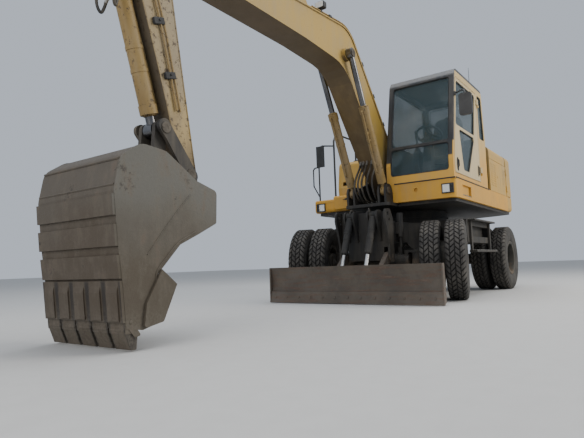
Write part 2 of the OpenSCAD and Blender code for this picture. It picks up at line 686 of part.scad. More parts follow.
// Bottom and top of the two windshield panes, and of the rear window
screen_panes = [[1700, 2085], [2110, 3030]];
rear_pane = [2420, 3020];
function pane_outline(z, w, m) = [
  [cab_inner + w + m, z[0] + m, 40], [cab_outer - w - m, z[0] + m, 40],
  [cab_outer - w - m, z[1] - m, 40], [cab_inner + w + m, z[1] - m, 40]];
function door_outline(m) = [
  [door_hinge[0] + 6 + m, door_low + m, 30], [band_x - door_post - m, door_low + m, 30],
  [band_x - door_post - m, 1850, 60], [lean_x(door_top) - door_post - m, door_top - m, 60],
  [door_hinge[0] + 6 + m, door_top - m, 40]];

module cab_shell() {
  y0 = cab_inner;
  y1 = cab_outer;
  color("#3b3d40") for (z = door_hinge_z)
    block(door_hinge[0] - 35, door_hinge[0] + 5, y1 - 5, door_hinge[1] + 10, z - 30, z - seat_gap);
  color("#3b3d40") difference() {
    plate(cab_outline(0), y0, y1);
    plate(cab_outline(cab_wall), y0 + cab_wall, y1 - cab_wall);
    // windshield
    for (pane = screen_panes) across(pane_outline(pane, 60, 0), 1000, 1400);
    // door opening
    plate(door_outline(0), y1 - cab_wall - 10, y1 + 10);
    // rear quarter window on the left, side window on the right
    plate(window_outline(quarter_window, 0), y1 - 60, y1 + 10);
    plate(window_outline(right_window, 0), y0 - 10, y0 + 60);
    // rear window
    across(pane_outline(rear_pane, 90, 0), cab_rear - 10, cab_rear + 130);
  }
}

module cab_door() {
  t = 38;
  color("#d8c48a") difference() {
    union() {
      plate(door_outline(run_gap), cab_outer - t, cab_outer);
      for (z = door_hinge_z) translate([door_hinge[0], door_hinge[1], z]) cylinder(r = 12, h = 90);
      for (z = door_hinge_z) {
        block(door_hinge[0], door_hinge[0] + 40, cab_outer + 1, door_hinge[1] + 4, z + 5, z + 85);
        block(door_hinge[0] + 16, door_hinge[0] + 40, cab_outer - 2, cab_outer + 2, z + 5, z + 85);
      }
    }
    for (w = door_windows) plate(window_outline(w, 0), cab_outer - 60, cab_outer + 10);
  }
}

glass_t = 6;
// Side windows: foot x at the rear and front, head x at the rear and front, bottom, top, corner radius
door_windows = [[280, 1136, 130, 1003, 2340, 2985, 40], [620, 880, 270, 1000, 1740, 2300, 45]];
quarter_window = [cab_rear + 55, -5, cab_rear + 105, -5, 2350, 3030, 40];
right_window = [cab_rear + 110, 1190, cab_rear + 150, 1050, 2180, 3020, 50];
function window_outline(w, m) = [
  [w[0] + m, w[4] + m, w[6]], [w[1] - m, w[4] + m, w[6]], [w[3] - m, w[5] - m, w[6]],
      [w[2] + m, w[5] - m, w[6]]];
module cab_glass() {
  color("#7fa89c") {
    // windshield panes and rear window lean with the pillars
    difference() {
      intersection() {
        plate(cab_outline(20), cab_inner + 20, cab_outer - 20);
        union() {
          for (pane = screen_panes) across(pane_outline(pane, 60, seat_gap), 1000, 1400);
          across(pane_outline(rear_pane, 90, seat_gap), cab_rear - 10, cab_rear + 130);
        }
      }
      plate(cab_outline(20 + glass_t), cab_inner, cab_outer);
    }
    plate(window_outline(quarter_window, seat_gap), cab_outer - 20 - glass_t, cab_outer - 20);
    plate(window_outline(right_window, seat_gap), cab_inner + 20, cab_inner + 20 + glass_t);
  }
}
module door_glass() {
  color("#7fa89c") {
    for (w = door_windows) plate(window_outline(w, seat_gap), cab_outer - 20 - glass_t, cab_outer - 20);
  }
}

seat_y = (cab_inner + cab_outer) / 2;
cab_floor = deck + cab_wall;
module seat_base() {
  color("#26282a") {
    plate([[80, cab_floor + seat_gap, 20], [480, cab_floor + seat_gap, 20], [440, 1960, 40],
        [100, 1960, 40]], seat_y - 190, seat_y + 190);
    both_sides(seat_y) plate([[120, cab_floor + seat_gap, 20], [560, cab_floor + seat_gap, 20],
        [620, 2180, 40], [140, 2180, 40]], 270, 350);
  }
}
module both_sides(y) {
  translate([0, y, 0]) both() children();
}
module seat_cushions() {
  color("#3a3c40") {
    plate([[60, 1960 + seat_gap, 40], [560, 1960 + seat_gap, 60], [560, 2090, 50], [60, 2090, 40]],
        seat_y - 240, seat_y + 240);
    plate([[-60, 2020, 50], [110, 2020, 40], [0, 2780, 50], [-130, 2780, 60]], seat_y - 230, seat_y + 230);
  }
}
module controls() {
  color("#202224") {
    plate([[900, cab_floor + seat_gap, 30], [1080, cab_floor + seat_gap, 30], [900, 2300, 0],
        [830, 2300, 0]], seat_y - 60, seat_y + 60);
    translate([850, seat_y, 2330]) rotate([0, -30, 0]) difference() {
      cylinder(r = 190, h = 26, center = true);
      difference() {
        cylinder(r = 165, h = 40, center = true);
        for (k = [0:2]) rotate([0, 0, k * 120]) translate([0, -18, -9]) cube([180, 36, 18]);
        cylinder(r = 50, h = 60, center = true);
      }
    }
    translate([850, seat_y, 2330]) rotate([0, -30, 0]) translate([0, 0, -100]) cylinder(r = 26, h = 100);
    both_sides(seat_y) translate([540, 310, 2180 + seat_gap]) cylinder(r = 14, h = 190);
  }
}

// Boom
boom_w = boom_half + flange;
arm_lug_in = arm_barrel_r + run_gap + 2;
module boom() {
  outer = [[690, 1520, 90], [880, 1505, 90], [1330, 1850, 250], [2321, 3058, 560], [3200, 3100, 300],
      [4900, 3105, 100],
           [5230, 3150, 100], [5420, 3160, 80], [5420, 3350, 80], [5290, 3380, 90], [3400, 3500, 600],
               [2138, 3609, 400],
           [665, 1780, 110]];
  color("#c08f2c") pin(arm_pivot, 45, -boom_w, boom_w);
  color("#c08f2c") difference() {
    union() {
      plate(outer, -boom_half, boom_half);
      // top and bottom plates stand out past the sides
      difference() {
        plate(outer, -boom_w, boom_w);
        plate([for (i = [0:len(outer) - 1]) inset_row(outer, i, 16)], -boom_w - 1, boom_w + 1);
      }
      both() pin(foot, 105, boom_half - 1, boom_w);
      both() pin(boom_cyl_pin, 85, boom_half - 1, boom_cyl_y - 34 - run_gap);
      // lugs of the arm cylinder
      both() plate([[arm_cyl_base[0] - 260, 3480, 20], [arm_cyl_base[0] + 260, 3460, 20],
          [arm_cyl_base[0] + 70, arm_cyl_base[1] + 70, 70],
                    [arm_cyl_base[0] - 70, arm_cyl_base[1] + 70, 70]], arm_lug_in, arm_lug_in + lug_t);
    }
    pin(foot, foot_pin_r + pin_gap, -300, 300);
    pin(arm_cyl_base, 35 + pin_gap, -200, 200);
    // the fork at the tip takes the arm
    plate([[4960, 3000, 40], [5600, 3000, 0], [5600, 3500, 0], [4960, 3500, 40]], -arm_half - run_gap,
        arm_half + run_gap);
  }
}
// A row of an outline moved inwards by w, along the bisector of its corner
function inset_row(p, i, w) =
  let (n = len(p), a = [p[(i + n - 1) % n][0], p[(i + n - 1) % n][1]], b = [p[i][0], p[i][1]],
       c = [p[(i + 1) % n][0], p[(i + 1) % n][1]], u = unit(b - a), v = unit(c - b),
       m = unit([-u[1] - v[1], u[0] + v[0]]), s = w / max(0.5, m * [-u[1], u[0]]))
  [b[0] + m[0] * s, b[1] + m[1] * s, max(0, p[i][2] - (cross(u, v) > 0 ? w : -w))];

module boom_barrels() {
  color("#b88a2c") both() difference() {
    union() {
      bar(boom_cyl_base, boom_cyl_pin, boom_barrel_r, boom_cyl_y, 118, 1180);
      bar(boom_cyl_base, boom_cyl_pin, 26, boom_cyl_y, 0, 125);
      bar(boom_cyl_base, boom_cyl_pin, boom_barrel_r + 8, boom_cyl_y, 1090, 1180);
      pin(boom_cyl_base, 66, boom_cyl_y - 27, boom_cyl_y + 27);
      pin(boom_cyl_base, 30, 175, 305);
    }
    bar(boom_cyl_base, boom_cyl_pin, 38 + pin_gap, boom_cyl_y, 160, 1400);
  }
}
module boom_rods() {
  color("silver") both() {
    bar(boom_cyl_base, boom_cyl_pin, 38, boom_cyl_y, 700);
    pin(boom_cyl_pin, 68, boom_cyl_y - 34, boom_cyl_y + 34);
  }
}

module arm_barrel() {
  color("#b88a2c") difference() {
    union() {
      bar(arm_cyl_base, arm_cyl_pin, arm_barrel_r, 0, 60, 1480);
      bar(arm_cyl_base, arm_cyl_pin, arm_barrel_r + 8, 0, 1390, 1480);
      pin(arm_cyl_base, 70, -arm_barrel_r, arm_barrel_r);
      pin(arm_cyl_base, 35, -arm_lug_in - lug_t, arm_lug_in + lug_t);
    }
    bar(arm_cyl_base, arm_cyl_pin, 45 + pin_gap, 0, 140, 1600);
  }
}
module arm_rod() {
  color("silver") {
    bar(arm_cyl_base, arm_cyl_pin, 45, 0, 900);
    pin(arm_cyl_pin, 72, -50, 50);
  }
}

bucket_lug_in = bucket_barrel_r + run_gap + 2;
module arm() {
  outer = [[4855, 905, 92], [5045, 905, 92], [5056, 1060, 60], [5150, 1640, 200], [5315, 2200, 300],
      [5470, 2700, 300],
           [5560, 3060, 100], [5560, 3300, 200], [5450, 3640, 45], [5220, 3330, 100], [5130, 2750, 300],
               [4868, 1100, 60]];
  color("#c08f2c") difference() {
    union() {
      plate(outer, -arm_half, arm_half);
      both() plate([[5380, 3500, 20], [5500, 3400, 20], [5590, 3727, 85], [5520, 3815, 80],
          [5410, 3790, 80]], 60, 90);
      both() plate([[5480, 2880, 20], [5560, 2880, 20], [5740, 3010, 75], [5720, 3130, 75],
          [5500, 3280, 20]], bucket_lug_in,
                   bucket_lug_in + lug_t);
      // pin stubs of the arm cylinder, clear of the rod's eye
      both() pin(arm_cyl_pin, 45, 60, 104);
    }
    pin(arm_pivot, 45 + pin_gap, -300, 300);
    pin(bucket_cyl_base, 32 + pin_gap, -200, 200);
    pin(rocker_pivot, 38 + pin_gap, -300, 300);
    pin(bucket_pin, 40 + pin_gap, -300, 300);
    // room for the eye of the bucket cylinder and of the arm cylinder
    plate([[5572, 2800, 30], [5800, 2800, 0], [5800, 3200, 0], [5572, 3200, 30]], -bucket_lug_in,
        bucket_lug_in);
  }
}

module bucket_barrel() {
  color("#bd9238") difference() {
    union() {
      bar(bucket_cyl_base, rocker_pin, bucket_barrel_r, 0, 60, norm(rocker_pin - bucket_cyl_base) - 130);
      bar(bucket_cyl_base, rocker_pin, bucket_barrel_r + 7, 0, 1270,
          norm(rocker_pin - bucket_cyl_base) - 130);
      pin(bucket_cyl_base, 64, -bucket_barrel_r, bucket_barrel_r);
      pin(bucket_cyl_base, 32, -bucket_lug_in - lug_t, bucket_lug_in + lug_t);
    }
    bar(bucket_cyl_base, rocker_pin, 40 + pin_gap, 0, 140, 1500);
  }
}
module bucket_rod() {
  color("silver") {
    bar(bucket_cyl_base, rocker_pin, 40, 0, 280);
    pin(rocker_pin, 62, -50, 50);
  }
}

rocker_in = arm_half + run_gap;
module rocker() {
  d = rocker_pin - rocker_pivot;
  s = unit(d);
  m = [s[1], -s[0]];
  p0 = rocker_pivot;
  p1 = rocker_pin;
  color("#3b352e") {
    both() plate([
      [(p0 - s * 75 - m * 60)[0], (p0 - s * 75 - m * 60)[1], 55],
          [(p0 - s * 75 + m * 60)[0], (p0 - s * 75 + m * 60)[1], 55],
      [(p0 + s * 60 + m * 60)[0], (p0 + s * 60 + m * 60)[1], 50],
          [(p1 - s * 80 + m * 50)[0], (p1 - s * 80 + m * 50)[1], 60],
      [(p1 + s * 75 + m * 60)[0], (p1 + s * 75 + m * 60)[1], 55],
          [(p1 + s * 75 - m * 60)[0], (p1 + s * 75 - m * 60)[1], 55],
      [(p0 + s * 60 - m * 60)[0], (p0 + s * 60 - m * 60)[1], 50]], rocker_in, rocker_in + 32);
    pin(p0, 38, -rocker_in - 32, rocker_in + 32);
    both() pin(p1, 36, 60, rocker_in + 32);
  }
}

module bucket_link() {
  d = link_pin - rocker_pin;
  s = unit(d);
  m = [s[1], -s[0]];
  p0 = rocker_pin;
  p1 = link_pin;
  color("#3b352e") difference() {
    union() {
      both() plate([[(p0 - s * 65 - m * 60)[0], (p0 - s * 65 - m * 60)[1], 55],
          [(p0 - s * 63 + m * 53)[0], (p0 - s * 63 + m * 53)[1], 53],
        [(p1 + s * 70 + m * 60)[0], (p1 + s * 70 + m * 60)[1], 55],
            [(p1 + s * 70 - m * 60)[0], (p1 + s * 70 - m * 60)[1], 55]], 62, 100);
      plate([[(p0 + s * 170 - m * 30)[0], (p0 + s * 170 - m * 30)[1], 0],
          [(p0 + s * 170 + m * 50)[0], (p0 + s * 170 + m * 50)[1], 0],
        [(p1 + s * 40 + m * 50)[0], (p1 + s * 40 + m * 50)[1], 20],
            [(p1 + s * 40 - m * 30)[0], (p1 + s * 40 - m * 30)[1], 20]], -100, 100);
      pin(p1, 70, -100, 100);
    }
    pin(p0, 36 + pin_gap, -300, 300);
  }
}

// Bucket, drawn where it hangs; the side outline follows the real shell
function bucket_side() = [
  [5010, 1110, 40], [5020, 860, 20], [5210, 770, 0], [5390, 690, 0], [5590, 490, 0], [5600, 160, 0],
  [5720, 130, 20], [5845, 150, 0], [5870, 420, 0], [5905, 690, 80], [5935, 1030, 160], [5890, 1260, 120],
  [5720, 1370, 110], [5510, 1350, 120], [5220, 1170, 60]];
// The shell between the side plates dips at the top to make room for the linkage
function bucket_shell() = [
  [5060, 900, 0], [5210, 770, 0], [5390, 690, 0], [5590, 490, 0], [5600, 160, 0], [5720, 130, 20],
      [5845, 150, 0],
  [5870, 420, 0], [5905, 690, 80], [5935, 1030, 160], [5890, 1260, 120], [5720, 1370, 110], [5600, 1320, 80],
  [5420, 1150, 120], [5170, 1010, 60]];
function bucket_hollow() = [
  [5079, 879, 0], [5000, 700, 0], [5000, 60, 0], [5800, 60, 0], [5838, 160, 0], [5842, 420, 0],
      [5876, 690, 70],
  [5906, 1020, 140], [5868, 1235, 100], [5712, 1338, 90], [5614, 1294, 60], [5434, 1124, 120],
      [5185, 985, 50]];
ear_in = rocker_in + 32 + run_gap + 2;
ear_t = 36;
// Wear plates across the back: x and height of the foot, then of the head
wear_t = 20;
wear_plates = [[5849, 190, 5873, 455], [5876, 470, 5895, 618], [5903, 676, 5914, 814],
    [5920, 872, 5929, 1008]];
tooth_inset = 88;
adapter_half = 85;
cap_half = 79;
module bucket() {
  pitch = 2 * (bucket_half - tooth_inset) / (tooth_n - 1);
  color("#6d6353") {
    both() plate(bucket_side(), bucket_half - bucket_side_t, bucket_half);
    // side cutters
    both() plate([[5570, 520, 0], [5440, 415, 0], [5560, 170, 20], [5720, 140, 20], [5700, 300, 0]],
                 bucket_half, bucket_half + 20);
    difference() {
      plate(bucket_shell(), -bucket_half + 1, bucket_half - 1);
      plate(bucket_hollow(), -bucket_half - 1, bucket_half + 1);
    }
    for (w = wear_plates) plate([[w[0] - 6, w[1], 0], [w[0] + wear_t, w[1], 0], [w[2] + wear_t, w[3], 0],
                                 [w[2] - 6, w[3], 0]], -bucket_half + 2, bucket_half - 2);
    // cutting lip and teeth
    plate([[5790, 175, 0], [5730, 100, 10], [5780, 90, 10], [5850, 175, 0]], -bucket_half, bucket_half);
    for (k = [0:tooth_n - 1]) {
      y = -bucket_half + tooth_inset + k * pitch;
      // adapter with its leg on the back and the tooth's cap
      plate([[5766, 260, 0], [5756, 118, 0], [5848, 118, 0], [5862, 260, 0]], y - adapter_half, y + adapter_half);
      plate([[5852, 200, 0], [5880, 200, 0], [5896, 380, 0], [5889, 430, 0], [5866, 430, 0]], y - 58, y + 58);
      plate([[5749, 150, 8], [5763, 12, 6], [5804, 12, 6], [5858, 150, 8]], y - cap_half, y + cap_half);
    }
    // ears with the pins of the arm and of the link
    both() plate([[4858, 1000, 80], [4945, 900, 70], [5075, 893, 0], [5185, 990, 0], [5430, 1125, 0],
                  [5610, 1300, 0], [5590, 1345, 25], [5400, 1290, 60], [5270, 1280, 80], [4900, 1095, 80]],
                 ear_in, ear_in + ear_t);
    pin(bucket_pin, 40, -ear_in - ear_t, ear_in + ear_t);
    both() pin(link_pin, 45, 100 + run_gap, ear_in + ear_t);
  }
}

chassis_frame();
swing_bearing();
side_steps();
front_axle();
rear_axle();
drive_line();
axle_locks();
knuckle_left();
knuckle_right();
tie_rod();
tyres_front_left();
tyres_front_right();
tyres_rear_left();
tyres_rear_right();
rims_front_left();
rims_front_right();
rims_rear_left();
rims_rear_right();
blade();
blade_barrels();
blade_rods();
upper_frame();
lower_band();
counterweight();
engine_block();
hood();
side_door_left();
side_door_right();
tank_housing();
tool_box();
handrails();
mirrors();
lamps();
cab_shell();
cab_door();
cab_glass();
door_glass();
seat_base();
seat_cushions();
controls();
boom();
boom_barrels();
boom_rods();
arm_barrel();
arm_rod();
arm();
bucket_barrel();
bucket_rod();
rocker();
bucket_link();
bucket();
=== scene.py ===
"""Finishes and fine pieces of a wheeled excavator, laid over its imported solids."""
import math

import bmesh
import bpy
import numpy as np
from mathutils import Matrix


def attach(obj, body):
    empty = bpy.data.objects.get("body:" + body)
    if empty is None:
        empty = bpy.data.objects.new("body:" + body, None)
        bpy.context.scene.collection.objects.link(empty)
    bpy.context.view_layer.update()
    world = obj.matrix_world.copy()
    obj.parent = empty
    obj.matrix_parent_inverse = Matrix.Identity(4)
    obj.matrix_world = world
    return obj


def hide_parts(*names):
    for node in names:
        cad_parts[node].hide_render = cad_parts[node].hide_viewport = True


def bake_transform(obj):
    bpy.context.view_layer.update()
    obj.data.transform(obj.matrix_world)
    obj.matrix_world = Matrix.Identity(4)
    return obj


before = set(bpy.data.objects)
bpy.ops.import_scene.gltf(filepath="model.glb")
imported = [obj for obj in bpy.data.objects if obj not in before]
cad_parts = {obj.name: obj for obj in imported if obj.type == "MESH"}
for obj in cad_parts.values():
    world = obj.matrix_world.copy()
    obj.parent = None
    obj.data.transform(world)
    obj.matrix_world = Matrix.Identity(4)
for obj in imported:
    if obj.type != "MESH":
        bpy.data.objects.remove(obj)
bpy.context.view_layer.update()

ACROSS, UP = (0.0, 1.0, 0.0), (0.0, 0.0, 1.0)

# Camera, fitted to the photograph, whose size is 584 by 438
IMAGE_W = 584
FOCAL_PX = 503.5
CAMERA_AT = np.array([7.849, 3.194, 0.518])
HEADING = math.radians(35.442)
PITCH = math.radians(5.238)
ROLL = math.radians(-1.912)

# Main places of the machine, in metres, as in the part's source
TYRE_R, TYRE_W = 0.526, 0.26
KINGPIN_Y, INNER_Y, OUTER_Y = 0.600, 0.805, 1.115
FRONT_X, REAR_X = 1.324, -1.298
STEER = math.radians(14.7)
CAB_IN, CAB_OUT, CAB_FRONT, CAB_REAR = 0.225, 1.171, 1.337, -0.330
CAB_LEAN, LEAN_FOOT, LEAN_RISE = 0.250, 1.850, 1.212
FOOT, BOOM_BASE, BOOM_EYE = (0.780, 1.620), (1.480, 1.500), (2.280, 3.200)
ARM_PIVOT, ARM_BASE, ARM_EYE = (5.320, 3.250), (3.250, 3.740), (5.499, 3.727)
BUCKET_PIN, LINK_PIN = (4.950, 1.000), (5.290, 1.190)
ROCKER_PIN, ROCKER_PIVOT = (5.250, 1.630), (4.988, 1.290)
BUCKET_BASE = (5.650, 3.050)
BLADE_TOP, BLADE_ROD = (1.720, 1.160), (2.030, 0.400)
BUCKET_HALF, ARM_SIDE, BOOM_SIDE = 0.460, 0.1205, 0.1555
PIPE_LANES, PIPE_MIDDLE = (-0.150, -0.124, 0.124, 0.150), 0.137
DOOR_SKIN, GLASS_Y, CAB_DOOR_Y = 1.184, 1.158, 1.172


def add_placed(name, data, x, y, z, at):
    """An object whose own axes point along x, y and z, with its origin at a point."""
    thing = bpy.data.objects.new(name, data)
    bpy.context.scene.collection.objects.link(thing)
    thing.matrix_world = Matrix(np.vstack([np.stack([x, y, z, at], 1), (0, 0, 0, 1)]).tolist())
    return thing


def place_camera():
    """Forward is (-cos h cos p, -sin h cos p, sin p); right and up are turned about it by the roll."""
    turn = math.pi + HEADING
    forward = np.array([math.cos(PITCH) * math.cos(turn), math.cos(PITCH) * math.sin(turn), math.sin(PITCH)])
    right = np.cross(forward, UP)
    right /= np.linalg.norm(right)
    up = np.cross(right, forward)
    rolled_right = right * math.cos(ROLL) + up * math.sin(ROLL)
    rolled_up = up * math.cos(ROLL) - right * math.sin(ROLL)
    data = bpy.data.cameras.new("camera")
    data.sensor_width = 36
    data.lens = FOCAL_PX / IMAGE_W * data.sensor_width
    data.clip_end = 300
    bpy.context.scene.camera = add_placed("camera", data, rolled_right, rolled_up, -forward, CAMERA_AT)


place_camera()


# Shapes: each is a grid of points with two flags, whether its rows and its columns close; a piece gathers several
def unit(v):
    return np.asarray(v, float) / np.linalg.norm(v)


def around(n):
    """n angles spread evenly over a full turn."""
    return np.linspace(0, 2 * np.pi, n, endpoint=False)


def spline(points, n):
    """Catmull-Rom curve: on each span the cubic through its two ends with slopes half the chord of the neighbours."""
    p = np.asarray(points, float)
    p = np.vstack([2 * p[0] - p[1], p, 2 * p[-1] - p[-2]])
    t = np.linspace(0, len(p) - 3, n)
    i = np.minimum(t.astype(int), len(p) - 4)
    u = (t - i)[:, None]
    a, b, c, d = p[i], p[i + 1], p[i + 2], p[i + 3]
    return 0.5 * (2 * b + (c - a) * u + (2 * a - 5 * b + 4 * c - d) * u ** 2 + (3 * b - a - 3 * c + d) * u ** 3)


def resample(points, n):
    """Points at equal steps of the polyline's own length."""
    p = np.asarray(points, float)
    s = np.concatenate([[0], np.cumsum(np.linalg.norm(np.diff(p, axis=0), axis=1))])
    return np.stack([np.interp(np.linspace(0, s[-1], n), s, p[:, k]) for k in range(3)], 1)


def frames(path, closed=False):
    """Two normals of a path: its flattest direction made square to the tangent, and the cross product of both."""
    p = np.asarray(path, float)
    tangent = np.roll(p, -1, 0) - np.roll(p, 1, 0) if closed else np.gradient(p, axis=0)
    tangent /= np.linalg.norm(tangent, axis=1, keepdims=True)
    flat = np.linalg.svd(tangent)[2][2]
    side = flat - tangent * (tangent @ flat)[:, None]
    side /= np.linalg.norm(side, axis=1, keepdims=True)
    return side, np.cross(tangent, side)


def sweep(path, outline, closed=False):
    """Point = path(u) + x side + y other for each outline point (x, y); open ends shrink to their middle."""
    p, o = np.asarray(path, float), np.asarray(outline, float)
    side, other = frames(p, closed)
    grid = p[:, None] + o[..., :1] * side[:, None] + o[..., 1:] * other[:, None]
    if not closed:
        middle = grid[[0, -1]].mean(1, keepdims=True).repeat(grid.shape[1], 1)
        grid = np.concatenate([middle[:1], grid, middle[1:]])
    return grid, closed, True


def tube(path, radius, sides=10, closed=False):
    """A sweep of the circle r (cos v, sin v), whose radius may change along the path."""
    v = around(sides)
    return sweep(path, np.reshape(radius, (-1, 1, 1)) * np.stack([np.cos(v), np.sin(v)], 1), closed)


def lathe(profile, centre, axis, sides=32):
    """Point = centre + h axis + r (cos v a + sin v b) for each profile pair (r, h); a and b are square to the axis."""
    axis = unit(axis)
    a = unit(np.cross(axis, (0.31, 0.17, 0.93)))
    b = np.cross(axis, a)
    v = around(sides)
    rh = np.asarray(profile, float)[:, :, None, None]
    ring = np.cos(v)[:, None] * a + np.sin(v)[:, None] * b
    return np.asarray(centre, float) + rh[:, 1] * axis + rh[:, 0] * ring, False, True


def disc(radius, height, centre, axis, sides=12):
    """A plain lathe with two flat ends."""
    return lathe([(0, 0), (radius, 0), (radius, height), (0, height)], centre, axis, sides)


def nut(radius, height, centre, axis, sides=6):
    """A six-sided lathe with its upper edge drawn in."""
    rows = [(0, 0), (radius, 0), (radius, height * 0.75), (radius * 0.8, height), (0, height)]
    return lathe(rows, centre, axis, sides)


def button(radius, height, top_radius, top, centre, axis, sides):
    """A flat disc whose top is drawn in to a smaller radius."""
    rows = [(0, 0), (radius, 0), (radius, height), (top_radius, top), (0, top)]
    return lathe(rows, centre, axis, sides)


def block(low, high, bevel=0.004, radius=0.0, up=2):
    """Rounded outline in the plane square to axis up, its rows drawn in at both ends by the bevel and then shut."""
    low, high = np.asarray(low, float), np.asarray(high, float)
    middle, half = (low + high) / 2, (high - low) / 2
    i, j = [(1, 2), (2, 0), (0, 1)][up]
    radius = max(radius, bevel * 1.01)
    corner = 4
    a = np.linspace(0, np.pi / 2, corner)
    quarter = np.stack([np.cos(a), np.sin(a)], 1)
    turns = [quarter, quarter[:, ::-1] * (-1, 1), -quarter, quarter[:, ::-1] * (1, -1)]
    signs = [(1, 1), (-1, 1), (-1, -1), (1, -1)]
    core = np.array([half[i] - radius, half[j] - radius])
    rows = []
    for inset, height in ((None, -1), (bevel, -1), (0, -1), (0, 1), (bevel, 1), (None, 1)):
        lift = height * (half[up] - (bevel if inset == 0 else 0))
        if inset is None:
            flat = np.zeros((4 * corner, 2))
        else:
            flat = np.concatenate([np.array(s) * core + t * (radius - inset) for s, t in zip(signs, turns)])
        row = np.zeros((4 * corner, 3))
        row[:, i], row[:, j], row[:, up] = flat[:, 0], flat[:, 1], lift
        rows.append(row + middle)
    return np.array(rows), False, True


def moved(shape, step):
    """A copy of a shape, a step away."""
    return shape[0] + np.asarray(step), *shape[1:]


def turned(shape, axis, centre, angle):
    """Rodrigues: p cos t + (k x p) sin t + k (k . p)(1 - cos t), about the centre."""
    k = unit(axis)
    p = shape[0] - np.asarray(centre, float)
    spun = p * math.cos(angle) + np.cross(k, p) * math.sin(angle) + k * (p @ k)[..., None] * (1 - math.cos(angle))
    return spun + np.asarray(centre, float), *shape[1:]


def circle_of(shape, count, centre, axis, phase=0.0):
    """count copies of a shape, spread evenly round the axis through centre."""
    return [turned(shape, axis, centre, phase + 2 * math.pi * k / count) for k in range(count)]


def piece(name, shapes, body, finish, sharp=30, values=None):
    """The grids as one mesh that rides on a body, if it has one: quads join each grid's rows and columns."""
    points, faces, start = [], [], 0
    for grid, wrap_u, wrap_v in shapes:
        m, n = grid.shape[:2]
        index = np.arange(m * n).reshape(m, n) + start
        if wrap_u:
            index = np.vstack([index, index[:1]])
        if wrap_v:
            index = np.hstack([index, index[:, :1]])
        quads = np.stack([index[:-1, :-1], index[1:, :-1], index[1:, 1:], index[:-1, 1:]], -1).reshape(-1, 4)
        points.append(grid.reshape(-1, 3))
        faces.append(quads)
        start += m * n
    mesh = bpy.data.meshes.new(name)
    mesh.from_pydata(np.concatenate(points).tolist(), [], np.concatenate(faces).tolist())
    if values is not None:
        mesh.attributes.new("groove_shade_and_dark_walls", "FLOAT", "POINT").data.foreach_set("value", np.asarray(values, np.float32))
    work = bmesh.new()
    work.from_mesh(mesh)
    bmesh.ops.remove_doubles(work, verts=work.verts, dist=1e-6)
    bmesh.ops.dissolve_degenerate(work, dist=1e-7, edges=work.edges)
    bmesh.ops.recalc_face_normals(work, faces=work.faces)
    work.to_mesh(mesh)
    work.free()
    mesh.polygons.foreach_set("use_smooth", [True] * len(mesh.polygons))
    mesh.set_sharp_from_angle(angle=math.radians(sharp))
    mesh.materials.append(finish)
    thing = bpy.data.objects.new(name, mesh)
    bpy.context.scene.collection.objects.link(thing)
    if body:
        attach(thing, body)
    return thing


# Shader maths
class Value:
    """A shader socket; an operator on it adds its Math node."""

    def __init__(self, finish, socket):
        self.finish, self.socket = finish, socket

    def math(self, operation, *others):
        return self.finish.node("ShaderNodeMath", {"operation": operation}, [self, *others])

    def __add__(self, other):
        return self.math("ADD", other)

    __radd__ = __add__

    def __mul__(self, other):
        return self.math("MULTIPLY", other)

    def __sub__(self, other):
        return self.math("SUBTRACT", other)

    def __rsub__(self, other):
        return self.finish.node("ShaderNodeMath", {"operation": "SUBTRACT"}, [other, self])

    def step(self, low, high):
        """0 below low, 1 above high, smooth between."""
        return self.finish.node("ShaderNodeMapRange", {"interpolation_type": "SMOOTHSTEP"}, [self, low, high])


class Finish:
    """A material with one Principled shader, built by node() and the mixes below."""

    def __init__(self, name, **sockets):
        self.material = bpy.data.materials.new(name)
        self.material.use_nodes = True
        self.tree = self.material.node_tree
        self.shader = self.tree.nodes["Principled BSDF"]
        for key, value in sockets.items():
            self.shader.inputs[key.replace("_", " ")].default_value = value

    def node(self, kind, settings=None, inputs=(), output=0):
        """Adds a node: its settings first, then values or links for its sockets, by order or by name."""
        made = self.tree.nodes.new(kind)
        for key, value in (settings or {}).items():
            setattr(made, key, value)
        pairs = inputs.items() if isinstance(inputs, dict) else enumerate(inputs)
        for key, value in pairs:
            if isinstance(value, Value):
                self.tree.links.new(value.socket, made.inputs[key])
            elif value is not None:
                made.inputs[key].default_value = value
        return Value(self, made.outputs[output])

    def place(self, scale=(1, 1, 1)):
        at = self.node("ShaderNodeTexCoord", output="Object")
        return self.node("ShaderNodeMapping", None, {"Vector": at, "Scale": scale})

    def along(self, k, vector=None):
        """Part k of a vector, by default of the place on the object: 0 for x, 1 for y, 2 for z."""
        return self.node("ShaderNodeSeparateXYZ", None, [vector or self.place()], k)

    def noise(self, scale, detail=4.0, rough=0.55, stretch=(1, 1, 1)):
        sockets = {"Vector": self.place(stretch), "Scale": scale, "Detail": detail, "Roughness": rough}
        return self.node("ShaderNodeTexNoise", None, sockets)

    def bands(self, direction, scale):
        """Sine waves along one axis."""
        sockets = {"Vector": self.place(), "Scale": scale}
        return self.node("ShaderNodeTexWave", {"bands_direction": direction}, sockets, 1)

    def blend(self, amount, a, b):
        """Colour a where amount is 0, b where it is 1."""
        sockets = {0: amount, 6: a if isinstance(a, Value) else (*a, 1), 7: b if isinstance(b, Value) else (*b, 1)}
        return self.node("ShaderNodeMix", {"data_type": "RGBA"}, sockets, 2)

    def surface(self, colour=None, rough=None, metal=None, bump=None, depth=0.002):
        for name, value in (("Base Color", colour), ("Roughness", rough), ("Metallic", metal)):
            if value is not None:
                self.tree.links.new(value.socket, self.shader.inputs[name])
        if bump is not None:
            relief = self.node("ShaderNodeBump", None, {"Height": bump, "Distance": depth, "Strength": 0.8})
            self.tree.links.new(relief.socket, self.shader.inputs["Normal"])
        return self.material


DUST = (0.30, 0.25, 0.18)
MUD = (0.085, 0.062, 0.042)
RUST = (0.13, 0.05, 0.02)
INNER_BLACK = (0.016, 0.019, 0.023)


